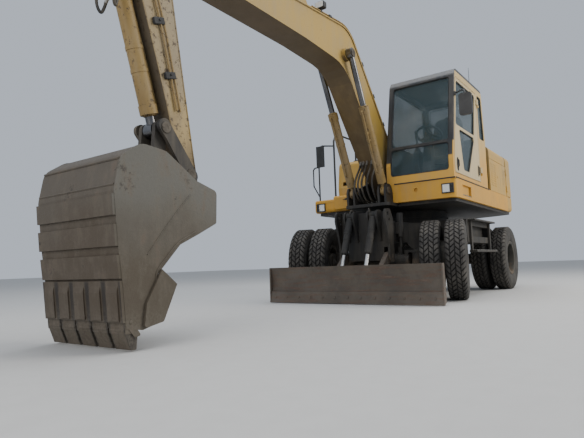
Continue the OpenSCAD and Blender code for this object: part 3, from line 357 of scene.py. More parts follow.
def weathered(name, paint, dust=0.5, mud_to=0.0, chips=0.35, rough=0.45, faded=None, under=0.0, side=0.0):
    """Paint fading in broad clouds, dust in fine vertical streaks, mud below a height, chips down to dark steel,
    painted shade on faces that look down, and painted shade on every face inside the width side."""
    f = Finish(name, IOR=1.45)
    cloud = f.noise(1.3, 5)
    streak = f.noise(9, 6, 0.6, (1, 1, 0.16))
    fine = f.noise(60, 3)
    colour = f.blend(cloud.step(0.35, 0.75), paint, faded or tuple(0.8 * c for c in paint))
    film = (streak * 0.7 + cloud * 0.5).step(0.45, 0.85) * dust
    colour = f.blend(film, colour, DUST)
    # Painted shade: faces that look down are darkened to a dark brown, as far as under asks
    if under:
        down = f.along(2, f.node("ShaderNodeNewGeometry", output="Normal"))
        colour = f.blend((1 - (down + (streak - 0.5) * 0.5).step(-0.75, -0.05)) * under, colour, (0.060, 0.042, 0.028))
    # Painted shade: every face between the side planes at plus and minus side, such as the arm's front, is darkened
    if side:
        inside = 1 - f.along(1).math("ABSOLUTE").step(side - 0.0015, side - 0.0003)
        colour = f.blend(inside * (0.55 + cloud * 0.5), colour, (0.034, 0.030, 0.027))
    chip = (f.noise(23, 8, 0.75) + fine * 0.12).step(0.75 - 0.1 * chips, 0.78 - 0.1 * chips)
    colour = f.blend(chip * 0.85, colour, (0.05, 0.032, 0.02))
    roughness = film * 0.35 + rough + fine * 0.1
    relief = fine * 0.12 + streak * 0.1 - chip * 0.25
    if mud_to > 0:
        low = 1 - (f.along(2) + (f.noise(5, 7, 0.65) - 0.5) * 0.9).step(mud_to * 0.55, mud_to)
        colour = f.blend(low * 0.9, colour, f.blend(fine, MUD, (0.16, 0.125, 0.09)))
        roughness = roughness + low * 0.35
        relief = relief + low * f.noise(35, 8, 0.7) * 0.9
    return f.surface(colour, roughness, bump=relief)


def dusty(f, cloud, colour, dust, rough):
    """Paint under a streaked film of dust, which also dulls it."""
    streak, fine = f.noise(8, 6, 0.6, (1, 1, 0.2)), f.noise(70, 3)
    film = (streak * 0.6 + cloud * 0.5).step(0.4, 0.9) * dust
    return f.surface(f.blend(film, colour, DUST), film * 0.4 + rough + fine * 0.08, bump=fine * 0.1 + streak * 0.1)


def cab_paint():
    """Dusty yellow, orange at the foot and paler cream higher up as painted light, with a black front frame above the
    split of the windshield, and a dark roof and right side.
    """
    f = Finish("cab_paint", IOR=1.45)
    cloud = f.noise(1.6, 5)
    x, y, z = (f.along(k) for k in range(3))
    upright = x + (z - LEAN_FOOT).math("MAXIMUM", 0.0) * (CAB_LEAN / LEAN_RISE)
    front = upright.step(1.296, 1.300) * z.step(2.094, 2.098)
    roof = z.step(3.115, 3.120)
    inner = y.step(CAB_OUT - 0.012, CAB_OUT - 0.008)
    dark = front.math("MAXIMUM", roof).math("MAXIMUM", (1 - inner) * z.step(1.66, 1.665) * (1 - x.step(1.325, 1.330)))
    paint = f.blend(cloud, (0.60, 0.42, 0.15), (0.50, 0.37, 0.16))
    # Painted light: orange at the cab's foot turns to the paler cream above, standing in for the strong light on this
    # side
    colour = f.blend(dark, f.blend(z.step(1.75, 2.6), (0.62, 0.33, 0.035), paint), INNER_BLACK)
    return dusty(f, cloud, colour, 0.35, 0.33)


def door_paint():
    """Cream yellow outside, its paleness painted light, under a dusty film, dark on the inner face."""
    f = Finish("door_paint", IOR=1.45)
    cloud = f.noise(1.6, 5)
    # Painted light: the pale cream stands in for the strong backlight on the door's side
    paint = f.blend(cloud, (0.60, 0.47, 0.24), (0.50, 0.41, 0.25))
    colour = f.blend(f.along(1).step(CAB_OUT - 0.030, CAB_OUT - 0.025), INNER_BLACK, paint)
    return dusty(f, cloud, colour, 0.4, 0.35)


def worn_steel(name, base, rust, scrape, earth):
    """Bare worn steel: cloudy base, rust in patches, scrapes along one direction, dried earth in the hollows."""
    f = Finish(name, IOR=1.6)
    cloud, fine = f.noise(2.2, 8, 0.65), f.noise(45, 8, 0.7)
    lines = f.noise(26, 6, 0.65, scrape)
    colour = f.blend(cloud.step(0.35, 0.7), base, tuple(1.5 * c for c in base))
    colour = f.blend((lines + fine * 0.3).step(0.60, 0.82) * rust, colour, RUST)
    colour = f.blend((f.noise(4, 8, 0.7) + fine * 0.2).step(0.55, 0.75) * earth, colour, (0.135, 0.108, 0.078))
    colour = f.blend((lines - fine * 0.2).step(0.48, 0.6) * 0.2, colour, (0.24, 0.22, 0.19))
    return f.surface(colour, 0.55 + fine * 0.3, 0.35 - cloud * 0.3, fine * 0.5 + lines * 0.5, 0.004)


def bucket_steel():
    """Dusty grey steel above, painted lighter there as the lit upper side, and brown earth below, patchy rust, dark
    marks, painted shade between the tooth adapters and a scraped edge at the teeth.
    """
    f = Finish("bucket_steel", IOR=1.6)
    broad, cloud, fine = f.noise(1.3, 5), f.noise(5, 9, 0.7), f.noise(50, 8, 0.7)
    streak = f.noise(14, 7, 0.6, (1, 1, 0.22))
    # Painted light: lighter and greyer towards the top, standing in for the light on the upper side
    high = (f.along(2) + (broad - 0.5) * 1.1).step(0.50, 1.15)
    colour = f.blend(high, (0.072, 0.056, 0.036), (0.108, 0.102, 0.086))
    y = f.along(1).math("ABSOLUTE")
    wrap = 1 - y.step(0.452, 0.458)
    colour = f.blend(wrap * (0.35 + cloud * 0.6), colour, (0.070, 0.050, 0.032))
    colour = f.blend((cloud * 0.6 + streak * 0.5).step(0.50, 0.72) * 0.6, colour, (0.120, 0.105, 0.078))
    colour = f.blend((streak * 0.5 + cloud * 0.6).step(0.58, 0.74) * 0.35, colour, (0.105, 0.048, 0.024))
    # Painted shade: dark upright bands in the gaps between the tooth adapters, below the height 0.47
    between = y.math("PINGPONG", 0.093).step(0.058, 0.082) * (1 - f.along(2).step(0.44, 0.47)) * wrap
    colour = f.blend(between * 0.95, colour, (0.020, 0.015, 0.011))
    colour = f.blend((cloud + fine * 0.3).step(0.78, 0.86) * 0.8, colour, (0.022, 0.019, 0.015))
    colour = f.blend((1 - f.along(2).step(0.15, 0.34)) * fine.step(0.35, 0.65) * 0.5, colour, (0.15, 0.13, 0.10))
    return f.surface(colour, 0.6 + fine * 0.25, 0.25 - cloud * 0.2, fine * 0.5 + cloud * 0.7, 0.005)


def tyre_rubber():
    """Black rubber greyed by dust on the blocks, with painted shade in the grooves and darker shoulders and walls, by
    the mesh's own value for these.
    """
    f = Finish("tyre_rubber", IOR=1.5)
    groove = f.node("ShaderNodeAttribute", {"attribute_name": "groove_shade_and_dark_walls"}, output="Fac")
    cloud, fine = f.noise(5, 7, 0.65), f.noise(90, 4)
    colour = f.blend(cloud.step(0.3, 0.75), (0.030, 0.028, 0.026), (0.095, 0.086, 0.074))
    # Painted shade: the grooves darken to near black, the shoulders and walls part way
    colour = f.blend(groove * (0.6 + fine * 0.5), colour, (0.009, 0.008, 0.007))
    return f.surface(colour, 0.78 + fine * 0.15, bump=fine * 0.6 + cloud * 0.4)


def polished_rod(name, bright, dull):
    """Chrome under a thin film of oil and dust."""
    f = Finish(name, Metallic=1.0)
    fine, cloud = f.noise(30, 5, 0.6), f.noise(3, 5)
    return f.surface(f.blend(cloud.step(0.3, 0.7), bright, dull), 0.18 + fine * 0.25)


def tinted_glass():
    """Greenish pane, clear enough to show the seat, with thin clouds of dust."""
    f = Finish("cab_glass", IOR=1.5)
    f.material.surface_render_method = "BLENDED"
    dirt = f.noise(3, 3, 0.5)
    colour = f.blend(dirt.step(0.45, 0.85), (0.055, 0.088, 0.098), (0.14, 0.17, 0.175))
    f.surface(colour, 0.07 + dirt.step(0.4, 0.9) * 0.12)
    f.tree.links.new((0.42 + dirt.step(0.4, 0.9) * 0.2).socket, f.shader.inputs["Alpha"])
    return f.material


def plain(name, colour, rough, grain=80.0, metal=0.0, other=None):
    """A moulded, rubber or cast finish: two near tones in small clouds with a fine grain."""
    f = Finish(name, IOR=1.5, Metallic=metal)
    fine, cloud = f.noise(grain, 5, 0.6), f.noise(7, 6)
    tone = f.blend(cloud.step(0.35, 0.7), colour, other or tuple(1.7 * c + 0.01 for c in colour))
    return f.surface(tone, rough + fine * 0.18, bump=fine, depth=0.001)


def seat_cloth():
    """Woven cloth: two crossed sine bands on Object coordinates."""
    f = Finish("seat_cloth", IOR=1.45, Sheen_Weight=0.3)
    cloud, weave = f.noise(9, 5), f.bands("X", 160.0) + f.bands("Z", 160.0)
    return f.surface(f.blend(cloud, (0.035, 0.04, 0.05), (0.075, 0.08, 0.09)), 0.85 + cloud * 0.1, bump=weave)


YELLOW = weathered("yellow_paint", (0.50, 0.29, 0.040), dust=0.5, faded=(0.42, 0.27, 0.070))
# under paints shade on the faces that look down, here and on the cylinders
BOOM_PAINT = weathered("boom_paint", (0.39, 0.245, 0.040), dust=0.4, mud_to=2.1, faded=(0.31, 0.21, 0.060), under=0.85)
BAND = weathered("band_paint", (0.58, 0.30, 0.025), dust=0.3, chips=0.2)
# The arm's side value paints shade on its faces between the side plates
ARM_PAINT = weathered("arm_paint", (0.37, 0.26, 0.095), dust=0.6, mud_to=1.9, chips=1.3, faded=(0.27, 0.205, 0.11),
                      side=0.12)
CYLINDER = weathered("cylinder_paint", (0.30, 0.195, 0.058), dust=0.5, chips=1.1, under=0.5)
BLACK = weathered("undercarriage_black", (0.015, 0.015, 0.015), dust=0.16, mud_to=0.6, chips=0.1, rough=0.6)
FRAME = weathered("frame_black", (0.014, 0.014, 0.014), dust=0.16, chips=0.1, rough=0.55)
LINK = weathered("linkage_black", (0.024, 0.022, 0.020), dust=0.35, chips=0.5, rough=0.6)
RIM = weathered("rim_paint", (0.040, 0.040, 0.036), dust=0.4, mud_to=0.4, chips=0.3, rough=0.6)
CAB = cab_paint()
DOOR = door_paint()
BUCKET_STEEL = bucket_steel()
BLADE_STEEL = worn_steel("blade_steel", (0.082, 0.068, 0.054), 0.45, (1, 0.12, 1), 0.45)
TYRE = tyre_rubber()
CHROME = polished_rod("rod_chrome", (0.20, 0.20, 0.205), (0.10, 0.10, 0.105))
BRIGHT = polished_rod("blade_rod_chrome", (0.72, 0.71, 0.69), (0.55, 0.54, 0.52))
GLASS = tinted_glass()
RAIL = plain("rail_black", (0.014, 0.014, 0.014), 0.35)
RUBBER = plain("black_rubber", (0.012, 0.012, 0.012), 0.6)
HOSE = plain("hose_rubber", (0.020, 0.018, 0.016), 0.55, 120, other=(0.085, 0.070, 0.050))
PLASTIC = plain("cab_plastic", (0.025, 0.026, 0.028), 0.55, 200)
STEEL = plain("zinc_steel", (0.22, 0.21, 0.19), 0.35, 60, 0.8)
GREASE = plain("greasy_steel", (0.05, 0.042, 0.032), 0.5, 60, 0.5)
CLOTH = seat_cloth()
MIRROR = plain("mirror_face", (0.55, 0.57, 0.58), 0.05, 10, 1.0)


def lens_finish(name, colour):
    """Ribbed lamp lens: upright bands in the bump."""
    f = Finish(name, IOR=1.5, Coat_Weight=0.4)
    cloud, tone = f.noise(12, 4), tuple(0.8 * c for c in colour)
    return f.surface(f.blend(cloud, colour, tone), 0.12 + cloud * 0.1, bump=f.bands("Y", 24.0))


LENS = lens_finish("lamp_lens", (0.75, 0.76, 0.72))
RED = lens_finish("red_lens", (0.45, 0.02, 0.02))

NODE_FINISH = {
    YELLOW: "hood side_door_left side_door_right tank_housing counterweight",
    BOOM_PAINT: "boom",
    BAND: "lower_band tool_box",
    ARM_PAINT: "arm",
    CYLINDER: "boom_barrels arm_barrel bucket_barrel",
    BLACK: "chassis_frame swing_bearing side_steps front_axle rear_axle drive_line axle_locks knuckle_left"
           " knuckle_right tie_rod blade_barrels",
    FRAME: "upper_frame engine_block",
    LINK: "rocker bucket_link",
    RIM: "rims_front_left rims_front_right rims_rear_left rims_rear_right",
    CAB: "cab_shell",
    DOOR: "cab_door",
    BUCKET_STEEL: "bucket",
    BLADE_STEEL: "blade",
    CHROME: "boom_rods arm_rod bucket_rod",
    BRIGHT: "blade_rods",
    GLASS: "cab_glass door_glass",
    RAIL: "handrails mirrors",
    PLASTIC: "seat_base controls",
    LENS: "lamps",
    TYRE: "tyres_front_left tyres_front_right tyres_rear_left tyres_rear_right",
    CLOTH: "seat_cushions",
}
for finish, names in NODE_FINISH.items():
    for node in names.split():
        data = bpy.data.objects[node].data
        data.materials.clear()
        data.materials.append(finish)


# Tyres: the tread's depth is a function of the angle and of the row across the width
def tyre_surface(centre, axis, spin):
    """Radius = profile(row) - depth where the row lies in a groove band, or the angle lies in its block's gap;
    the angle leans forward by the slant, in pitches a unit of |h|, up to the crest and back beyond it as far as
    the shoulder, and block rows alternate by half a pitch."""
    pitches, depth, half = 44, 0.016, TYRE_W / 2
    slant, crest, shoulder = 1.7, 0.45, 0.9
    # In a groove or not, block row (1 shoulder, 2 inner, 0 none), pairs of h/half and radius
    zones = [(1, 0, [(0.000, TYRE_R), (0.045, TYRE_R)]),
             (0, 2, [(0.065, TYRE_R), (0.400, TYRE_R)]),
             (1, 0, [(0.420, TYRE_R), (0.500, TYRE_R)]),
             (0, 1, [(0.520, TYRE_R), (0.720, TYRE_R), (0.800, 0.5145), (0.880, 0.5025), (0.905, 0.494)]),
             (0, 0, [(0.925, 0.476), (0.955, 0.452), (0.975, 0.446), (0.998, 0.428), (0.992, 0.396), (0.975, 0.372),
                     (0.985, 0.364), (0.965, 0.345), (0.920, 0.315), (0.850, 0.292), (0.790, 0.284), (0.720, 0.2625)])]
    rows = [(h, r, groove, row) for groove, row, pairs in zones for h, r in pairs]
    # Below h = 0 the block rows 1 and 2 count as 5 and 6
    mirrored = [(-h, r, groove, row + 4 * (row > 0)) for h, r, groove, row in rows[:0:-1]]
    h, r, groove, block_row = np.array(mirrored + rows).T
    cut = np.array([0, 0.03, 0.27, 0.30, 0.5, 0.53, 0.77, 0.80])
    part = np.tile(np.arange(8), pitches)
    angle = (np.repeat(np.arange(pitches), 8) + np.tile(cut, pitches)) * 2 * np.pi / pitches
    early, late = np.isin(part, (1, 2)), np.isin(part, (5, 6))
    gap = (np.isin(block_row, (1, 6))[:, None] & early) | (np.isin(block_row, (2, 5))[:, None] & late)
    sunk = np.maximum(groove[:, None], gap)
    radius = r[:, None] - depth * sunk
    lean = slant * (crest - np.abs(np.minimum(np.abs(h), shoulder) - crest))[:, None] * 2 * np.pi / pitches
    theta = angle[None] + lean + spin
    a, b = np.array(UP), np.cross(axis, UP)
    grid = (np.asarray(centre) + (h * half)[:, None, None] * axis
            + radius[..., None] * (np.cos(theta)[..., None] * a + np.sin(theta)[..., None] * b))
    # Shoulders and walls take part of the groove darkening
    wall = np.where(r >= 0.49, 0.0, np.where(r > 0.44, 0.5, 0.3))
    return (grid, True, True), np.maximum(sunk, wall[:, None]).reshape(-1)


WHEELS = [("front_left", FRONT_X, 1, STEER), ("front_right", FRONT_X, -1, STEER),
          ("rear_left", REAR_X, 1, 0.0), ("rear_right", REAR_X, -1, 0.0)]
HUB = (INNER_Y + OUTER_Y) / 2 - KINGPIN_Y
# From the middle of the twin wheels out to the disc, the flange and the cap; radii of the two circles of bolts
DISC_OUT, FLANGE_OUT, CAP_OUT = 0.0235, 0.1405, 0.149
DISC_BOLTS, FLANGE_BOLTS = 0.159, 0.100

for name, x, side, angle in WHEELS:
    outward = np.array([-math.sin(angle), math.cos(angle), 0.0]) * side
    kingpin = np.array([x, side * KINGPIN_Y, TYRE_R])
    shapes, groove_shade_and_dark_walls = zip(*[tyre_surface(kingpin + (y - KINGPIN_Y) * outward, outward, 0.06 * k + 0.11 * side)
                         for k, y in enumerate((INNER_Y, OUTER_Y))])
    tread = piece("tread_" + name, shapes, "wheel_" + name, TYRE, 28, np.concatenate(groove_shade_and_dark_walls))
    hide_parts("tyres_" + name)
    face = kingpin + outward * (HUB + DISC_OUT)
    first = face + (0, 0, DISC_BOLTS)
    studs = circle_of(nut(0.0095, 0.018, first, outward), 10, face, outward)
    studs += circle_of(disc(0.005, 0.026, first, outward, 8), 10, face, outward)
    top = kingpin + outward * (HUB + FLANGE_OUT)
    studs += circle_of(nut(0.011, 0.010, top + (0, 0, FLANGE_BOLTS), outward), 12, top, outward, 0.2)
    hub_cap = [(0, 0), (0.062, 0), (0.062, 0.012), (0.055, 0.020), (0.020, 0.024), (0.018, 0.034), (0, 0.034)]
    studs.append(lathe(hub_cap, kingpin + outward * (HUB + CAP_OUT), outward))
    piece("wheel_nuts_" + name, studs, "wheel_" + name, GREASE)
    ring = kingpin + outward * (OUTER_Y - KINGPIN_Y + TYRE_W * 0.40 + 0.005)
    lip = [(0.250, -0.012), (0.276, -0.012), (0.280, -0.003), (0.277, 0.003), (0.262, 0.005), (0.252, 0.002)]
    piece("lock_ring_" + name, [(lathe(lip, ring, outward, 72)[0], True, True)], "wheel_" + name, RIM)


# Pins
def cap(x, z, y, radius, thick, side):
    """A stepped cap on the end of a pin, and the bolt in its rim."""
    rows = [(0, -0.002), (radius, -0.002), (radius, thick * 0.7), (radius - 0.003, thick), (radius * 0.45, thick),
            (radius * 0.42, thick * 0.8), (0, thick * 0.8)]
    bolt = nut(radius * 0.22, thick * 0.5, (x + radius * 0.7, side * (y + thick * 0.9), z), (0, side, 0))
    return [lathe(rows, (x, side * y, z), (0, side, 0)), bolt]


PINS = {"arm": [(ARM_EYE, 0.104, 0.058, 0.010), (BUCKET_BASE, 0.100, 0.048, 0.009)],
        "boom": [(ARM_PIVOT, 0.167, 0.062, 0.012), (ARM_BASE, 0.106, 0.048, 0.009)],
        "boom_rods": [(BOOM_EYE, 0.272, 0.052, 0.012)],
        "bucket": [(BUCKET_PIN, 0.202, 0.058, 0.012), (LINK_PIN, 0.202, 0.056, 0.012)],
        "rocker": [(ROCKER_PIN, 0.158, 0.046, 0.007), (ROCKER_PIVOT, 0.158, 0.048, 0.007)],
        "upper": [(FOOT, 0.205, 0.062, 0.012), (BOOM_BASE, 0.305, 0.050, 0.010)]}
for body, pins in PINS.items():
    shapes = [g for at, y, r, t in pins for s in (-1, 1) for g in cap(*at, y, r, t, s)]
    piece("pin_caps_" + body, shapes, body, GREASE)


# Cylinders: gland bolts, and a pipe along the barrel
def barrel_parts(base, eye, radius, y, length, first):
    """A pipe that leaves the gland, runs beside the barrel and turns in again at its foot; bolts round the gland."""
    base, eye = np.array([base[0], y, base[1]]), np.array([eye[0], y, eye[1]])
    along = unit(eye - base)
    away = unit(np.cross(ACROSS, along))
    out = radius + 0.022
    path = [base + along * s + away * o for s, o in (
        (length - 0.045, radius - 0.01), (length - 0.045, out + 0.012), (length - 0.11, out), (length - 0.30, out),
        (first + 0.25, out), (first + 0.05, out), (first, out - 0.004), (first - 0.015, radius - 0.012))]
    shapes = [tube(resample(spline(path, 60), 60), 0.0105)]
    for s in (length - 0.34, (length + first) / 2, first + 0.12):
        centre = base + along * s
        band = [(radius - 0.002, -0.014), (radius + 0.004, -0.014), (radius + 0.004, 0.014), (radius - 0.002, 0.014)]
        shapes.append((lathe(band, centre, along, 40)[0], True, True))
        clip = centre + away * (out - 0.020)
        shapes.append(tube([clip - along * 0.012, clip + along * 0.012], 0.016, 12))
    gland = base + along * length
    shapes.append(button(radius * 0.83, 0.012, radius * 0.70, 0.020, gland, along, 40))
    shapes += circle_of(nut(0.0085, 0.010, gland + away * radius * 0.92, along), 8, gland, along, 0.3)
    return shapes


for name, base, eye, radius, rows, length, foot, finish, slot_name in (
        ("boom_barrels", BOOM_BASE, BOOM_EYE, 0.060, (-0.238, 0.238), 1.180, 0.30, CYLINDER, "yellow_paint"),
        ("arm_barrel", ARM_BASE, ARM_EYE, 0.072, (0.0,), 1.480, 0.30, CYLINDER, "yellow_paint"),
        ("bucket_barrel", BUCKET_BASE, ROCKER_PIN, 0.066, (0.0,), 1.340, 0.30, CYLINDER, "yellow_paint"),
        ("blade_barrels", BLADE_TOP, BLADE_ROD, 0.048, (-0.175, 0.175), 0.560, 0.14, BLACK, "frame_black")):
    shapes = [g for y in rows for g in barrel_parts(base, eye, radius, y, length, foot)]
    piece("pipes_" + name, shapes, name, finish)


# Boom: pipes over its back, clamps, welds and its work lamp
def corner_curve(a, b, c, radius, n):
    """Quadratic curve round the corner b, from and to points that lie a radius, or 0.48 of the run, away from it."""
    s, e = (b + unit(q - b) * min(radius, 0.48 * np.linalg.norm(q - b)) for q in (a, c))
    t = np.linspace(0, 1, n)[:, None]
    return (1 - t) ** 2 * s + 2 * t * (1 - t) * b + t ** 2 * e


def bent(points, radius=0.12):
    """Straight runs joined by corner curves."""
    p = np.asarray(points, float)
    turns = [corner_curve(a, b, c, radius, 7) for a, b, c in zip(p[:-2], p[1:-1], p[2:])]
    return np.vstack([p[:1], *turns, p[-1:]])


def in_plane(rows, y):
    """Pairs (x, z) as points at one y."""
    return np.array([(x, y, z) for x, z in rows])


def arced(rows, offset):
    """Rows (x, z, radius): straight runs with an arc at each corner, all moved to the left of their direction."""
    p = np.array([row[:2] for row in rows])
    line = [p[0]]
    for a, b, c, r in zip(p[:-2], p[1:-1], p[2:], [row[2] for row in rows[1:-1]]):
        u, v = unit(a - b), unit(c - b)
        half = 0.5 * np.arccos(u @ v)
        centre = b + unit(u + v) * r / np.sin(half)
        s, e = b + u * r / np.tan(half) - centre, b + v * r / np.tan(half) - centre
        line += [centre + r * unit((1 - k) * s + k * e) for k in np.linspace(0, 1, 14)]
    line = np.array(line + [p[-1]])
    d = np.array([unit(q) for q in np.diff(line, axis=0)])
    d = np.vstack([d[:1], (d[1:] + d[:-1]) / 2, d[-1:]])
    return line + offset * np.stack([-d[:, 1], d[:, 0]], 1)


shapes = []
for y in PIPE_LANES:
    path = arced([(0.985, 2.177, 0), (2.138, 3.609, 0.40), (3.02, 3.533, 0)], 0.026)
    shapes.append(tube(in_plane(path, y), 0.010))
    shapes.append(tube(bent(in_plane([(3.55, 3.510), (4.20, 3.468), (4.92, 3.424)], y)), 0.010))
piece("pipes_boom", shapes, "boom", CYLINDER, 40)
shapes = []
for x, z, slope in ((1.22, 2.508, 0.893), (1.50, 2.853, 0.893), (1.80, 3.225, 0.893), (2.62, 3.588, -0.09),
                    (3.75, 3.489, -0.065), (4.30, 3.453, -0.065), (4.80, 3.421, -0.065)):
    for y in (-PIPE_MIDDLE, PIPE_MIDDLE):
        clamp = block((x - 0.030, y - 0.032, z - 0.020), (x + 0.030, y + 0.032, z + 0.018), 0.005)
        bolt = nut(0.009, 0.009, (x, y, z + 0.018), UP)
        shapes += [turned(g, ACROSS, (x, 0, z), -slope) for g in (clamp, bolt)]
piece("clamps_boom", shapes, "boom", RUBBER)

BOOM_EDGE = arced([(0.90, 2.072, 0), (2.138, 3.609, 0.40), (3.40, 3.50, 0.60), (4.90, 3.405, 0)], -0.019)
BOOM_BELLY = arced([(1.02, 1.612, 0), (1.33, 1.85, 0.25), (2.321, 3.058, 0.56), (3.20, 3.10, 0.30), (4.88, 3.105, 0)],
                   0.019)
shapes = [tube(in_plane(rows, y), 0.006, 6) for rows in (BOOM_EDGE, BOOM_BELLY) for y in (-BOOM_SIDE, BOOM_SIDE)]
piece("welds_boom", shapes, "boom", BOOM_PAINT, 60)
at, deep, wide, tall = np.array([2.86, 0.150, 3.645]), 0.075, 0.0625, 0.0425
housing = [block(at - (deep, wide, tall), at + (0, wide, tall), 0.006, 0.015, 0),
           block(at - (deep * 0.7, 0.012, tall + 0.045), at - (deep * 0.3, -0.012, tall - 0.01), 0.003)]
piece("lamp_boom", housing, "boom", RUBBER)
pane = block(at - (0.001, wide - 0.008, tall - 0.008), at + (0.004, wide - 0.008, tall - 0.008), 0.002, 0.012, 0)
piece("lamp_boom_lens", [pane], "boom", LENS)


# Hoses over the moving joints
def hose_set(name, paths, a, b, radius, ferrule, sleeves_a, sleeves_b):
    """Curved hoses between the bodies a and b, riding on neither; each end has a hexagon and a ferrule that ride on its
    body.
    """
    thing = piece(name, [tube(spline(p, 44), radius) for p in paths], None, HOSE, 60)
    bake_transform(thing)
    for sleeves, body, ends in ((sleeves_a, a, [p[:2] for p in paths]), (sleeves_b, b, [p[:-3:-1] for p in paths])):
        shapes = []
        for p, q in ends:
            d = unit(np.subtract(q, p))
            shapes += [disc(ferrule * 1.1, 0.024, p - 0.012 * d, d, 6),
                       disc(ferrule * 0.9, 0.043, p + 0.012 * d, d, 14)]
        piece(sleeves, shapes, body, STEEL)


paths = [[(1.30, y, 1.350), (1.50, y * 1.05, 1.40), (1.615, y * 1.08, 1.56), (1.585, y * 1.05, 1.70), (1.47, y, 1.86),
          (1.418, y, 1.952)] for y in (-0.130, -0.085, -0.030, 0.045, 0.120)]
hose_set("hoses_boom_foot", paths, "upper", "boom", 0.014,
         0.019, "sleeves_upper", "sleeves_boom_foot")
paths = [[(4.92, y, 3.424), (5.10, y * 1.05, 3.50), (5.30, y * 1.12, 3.585), (5.44, y * 1.08, 3.50), (5.475, y, 3.34)]
         for y in PIPE_LANES]
hose_set("hoses_boom_head", paths, "boom", "arm", 0.012,
         0.015, "sleeves_boom_head", "sleeves_arm_head")


# Arm: side pipes in their bracket, hoses to the bucket cylinder, welds
shapes = []
for dx in (0.0, 0.036):
    rows = [(5.35 + dx, 2.85), (5.22 + dx, 2.42), (5.12 + dx, 1.98), (5.08 + dx, 1.80)]
    shapes += [tube(bent(in_plane(rows, y), 0.2), 0.009) for y in (-0.136, 0.136)]
piece("pipes_arm", shapes, "arm", CYLINDER, 40)
shapes = []
for x, z, slope in ((5.345, 2.74, 0.29), (5.275, 2.50, 0.29), (5.165, 2.08, 0.26)):
    for s in (-1, 1):
        y = s * 0.134
        plate = block((x - 0.035, y - 0.015, z - 0.028), (x + 0.075, y + 0.015, z + 0.028), 0.004, 0.010, 1)
        shapes += [turned(plate, ACROSS, (x, 0, z), slope), nut(0.009, 0.008, (x + 0.018, s * 0.149, z), (0, s, 0))]
piece("clamps_arm", shapes, "arm", RUBBER)
paths = [[(5.386, s * 0.137, 2.855), (5.43, s * 0.139, 2.93), (5.53, s * 0.138, 2.92), (5.64, s * 0.126, 2.78),
          (5.69, s * 0.108, 2.58), (5.66, s * 0.088, 2.49), (5.615, s * 0.070, 2.62)] for s in (-1, 1)]
hose_set("hoses_bucket_barrel", paths, "arm", "bucket_barrel", 0.012,
         0.015, "sleeves_arm_side", "sleeves_bucket_barrel")
ARM_FRONT = [(4.885, 1.20), (4.94, 1.50), (5.135, 2.72), (5.23, 3.28)]
ARM_BACK = [(5.075, 1.16), (5.155, 1.66), (5.318, 2.23), (5.46, 2.70), (5.545, 3.02)]


def oval(x, y, z, half_x, half_z):
    """Forty points of an ellipse that stands square to Y."""
    v = around(40)
    return in_plane(np.stack([x + half_x * np.cos(v), z + half_z * np.sin(v)], 1), y)


shapes = [tube(bent(in_plane(rows, y), 0.3), 0.006, 6) for rows in (ARM_FRONT, ARM_BACK) for y in (-ARM_SIDE, ARM_SIDE)]
for (x, z), r in ((ARM_PIVOT, 0.085), (BUCKET_PIN, 0.088)):
    shapes += [tube(oval(x, y, z, r, r), 0.0045, 6, True) for y in (-ARM_SIDE, ARM_SIDE)]
piece("welds_arm", shapes, "arm", ARM_PAINT, 60)

# Bucket: weld beads and tooth pins
shapes = []
for z, x in ((0.190, 5.869), (0.455, 5.893), (0.470, 5.896), (0.618, 5.915), (0.676, 5.923), (0.814, 5.934),
             (0.872, 5.940), (1.008, 5.949)):
    wave = 0.0012 * np.sin(np.arange(60) * 2.4)
    shapes.append(tube(np.stack([x - 0.021 + wave, np.linspace(-0.45, 0.45, 60), np.full(60, z)], 1), 0.007, 6))
for z, x in ((1.07, 5.926), (1.245, 5.890)):
    shapes.append(tube([(x, y, z) for y in np.linspace(-0.45, 0.45, 30)], 0.009, 6))
for y in (-BUCKET_HALF - 0.001, BUCKET_HALF + 0.001):
    seam = bent(in_plane([(5.600, 0.18), (5.590, 0.495), (5.40, 0.69), (5.22, 0.775)], y), 0.05)
    shapes.append(tube(seam + (0.02, 0, 0.012), 0.006, 6))
    crease = bent(in_plane([(5.29, 1.06), (5.48, 0.86), (5.68, 0.62)], y), 0.1)
    shapes.append(tube(crease, 0.005, 6))
for tooth in np.linspace(-1, 1, 5) * (BUCKET_HALF - 0.088):
    shapes += [button(0.014, 0.006, 0.010, 0.009, (5.812, tooth + s * 0.084, 0.190), (0, s, 0), 14) for s in (-1, 1)]
piece("welds_bucket", shapes, "bucket", BUCKET_STEEL, 40)

# Blade: bolts of the cutting edge
shapes = [nut(0.016, 0.010, (2.199, y, 0.083), (1, 0, 0.13)) for y in np.linspace(-1.14, 1.14, 13)]
piece("bolts_blade", shapes, "blade", BLADE_STEEL)

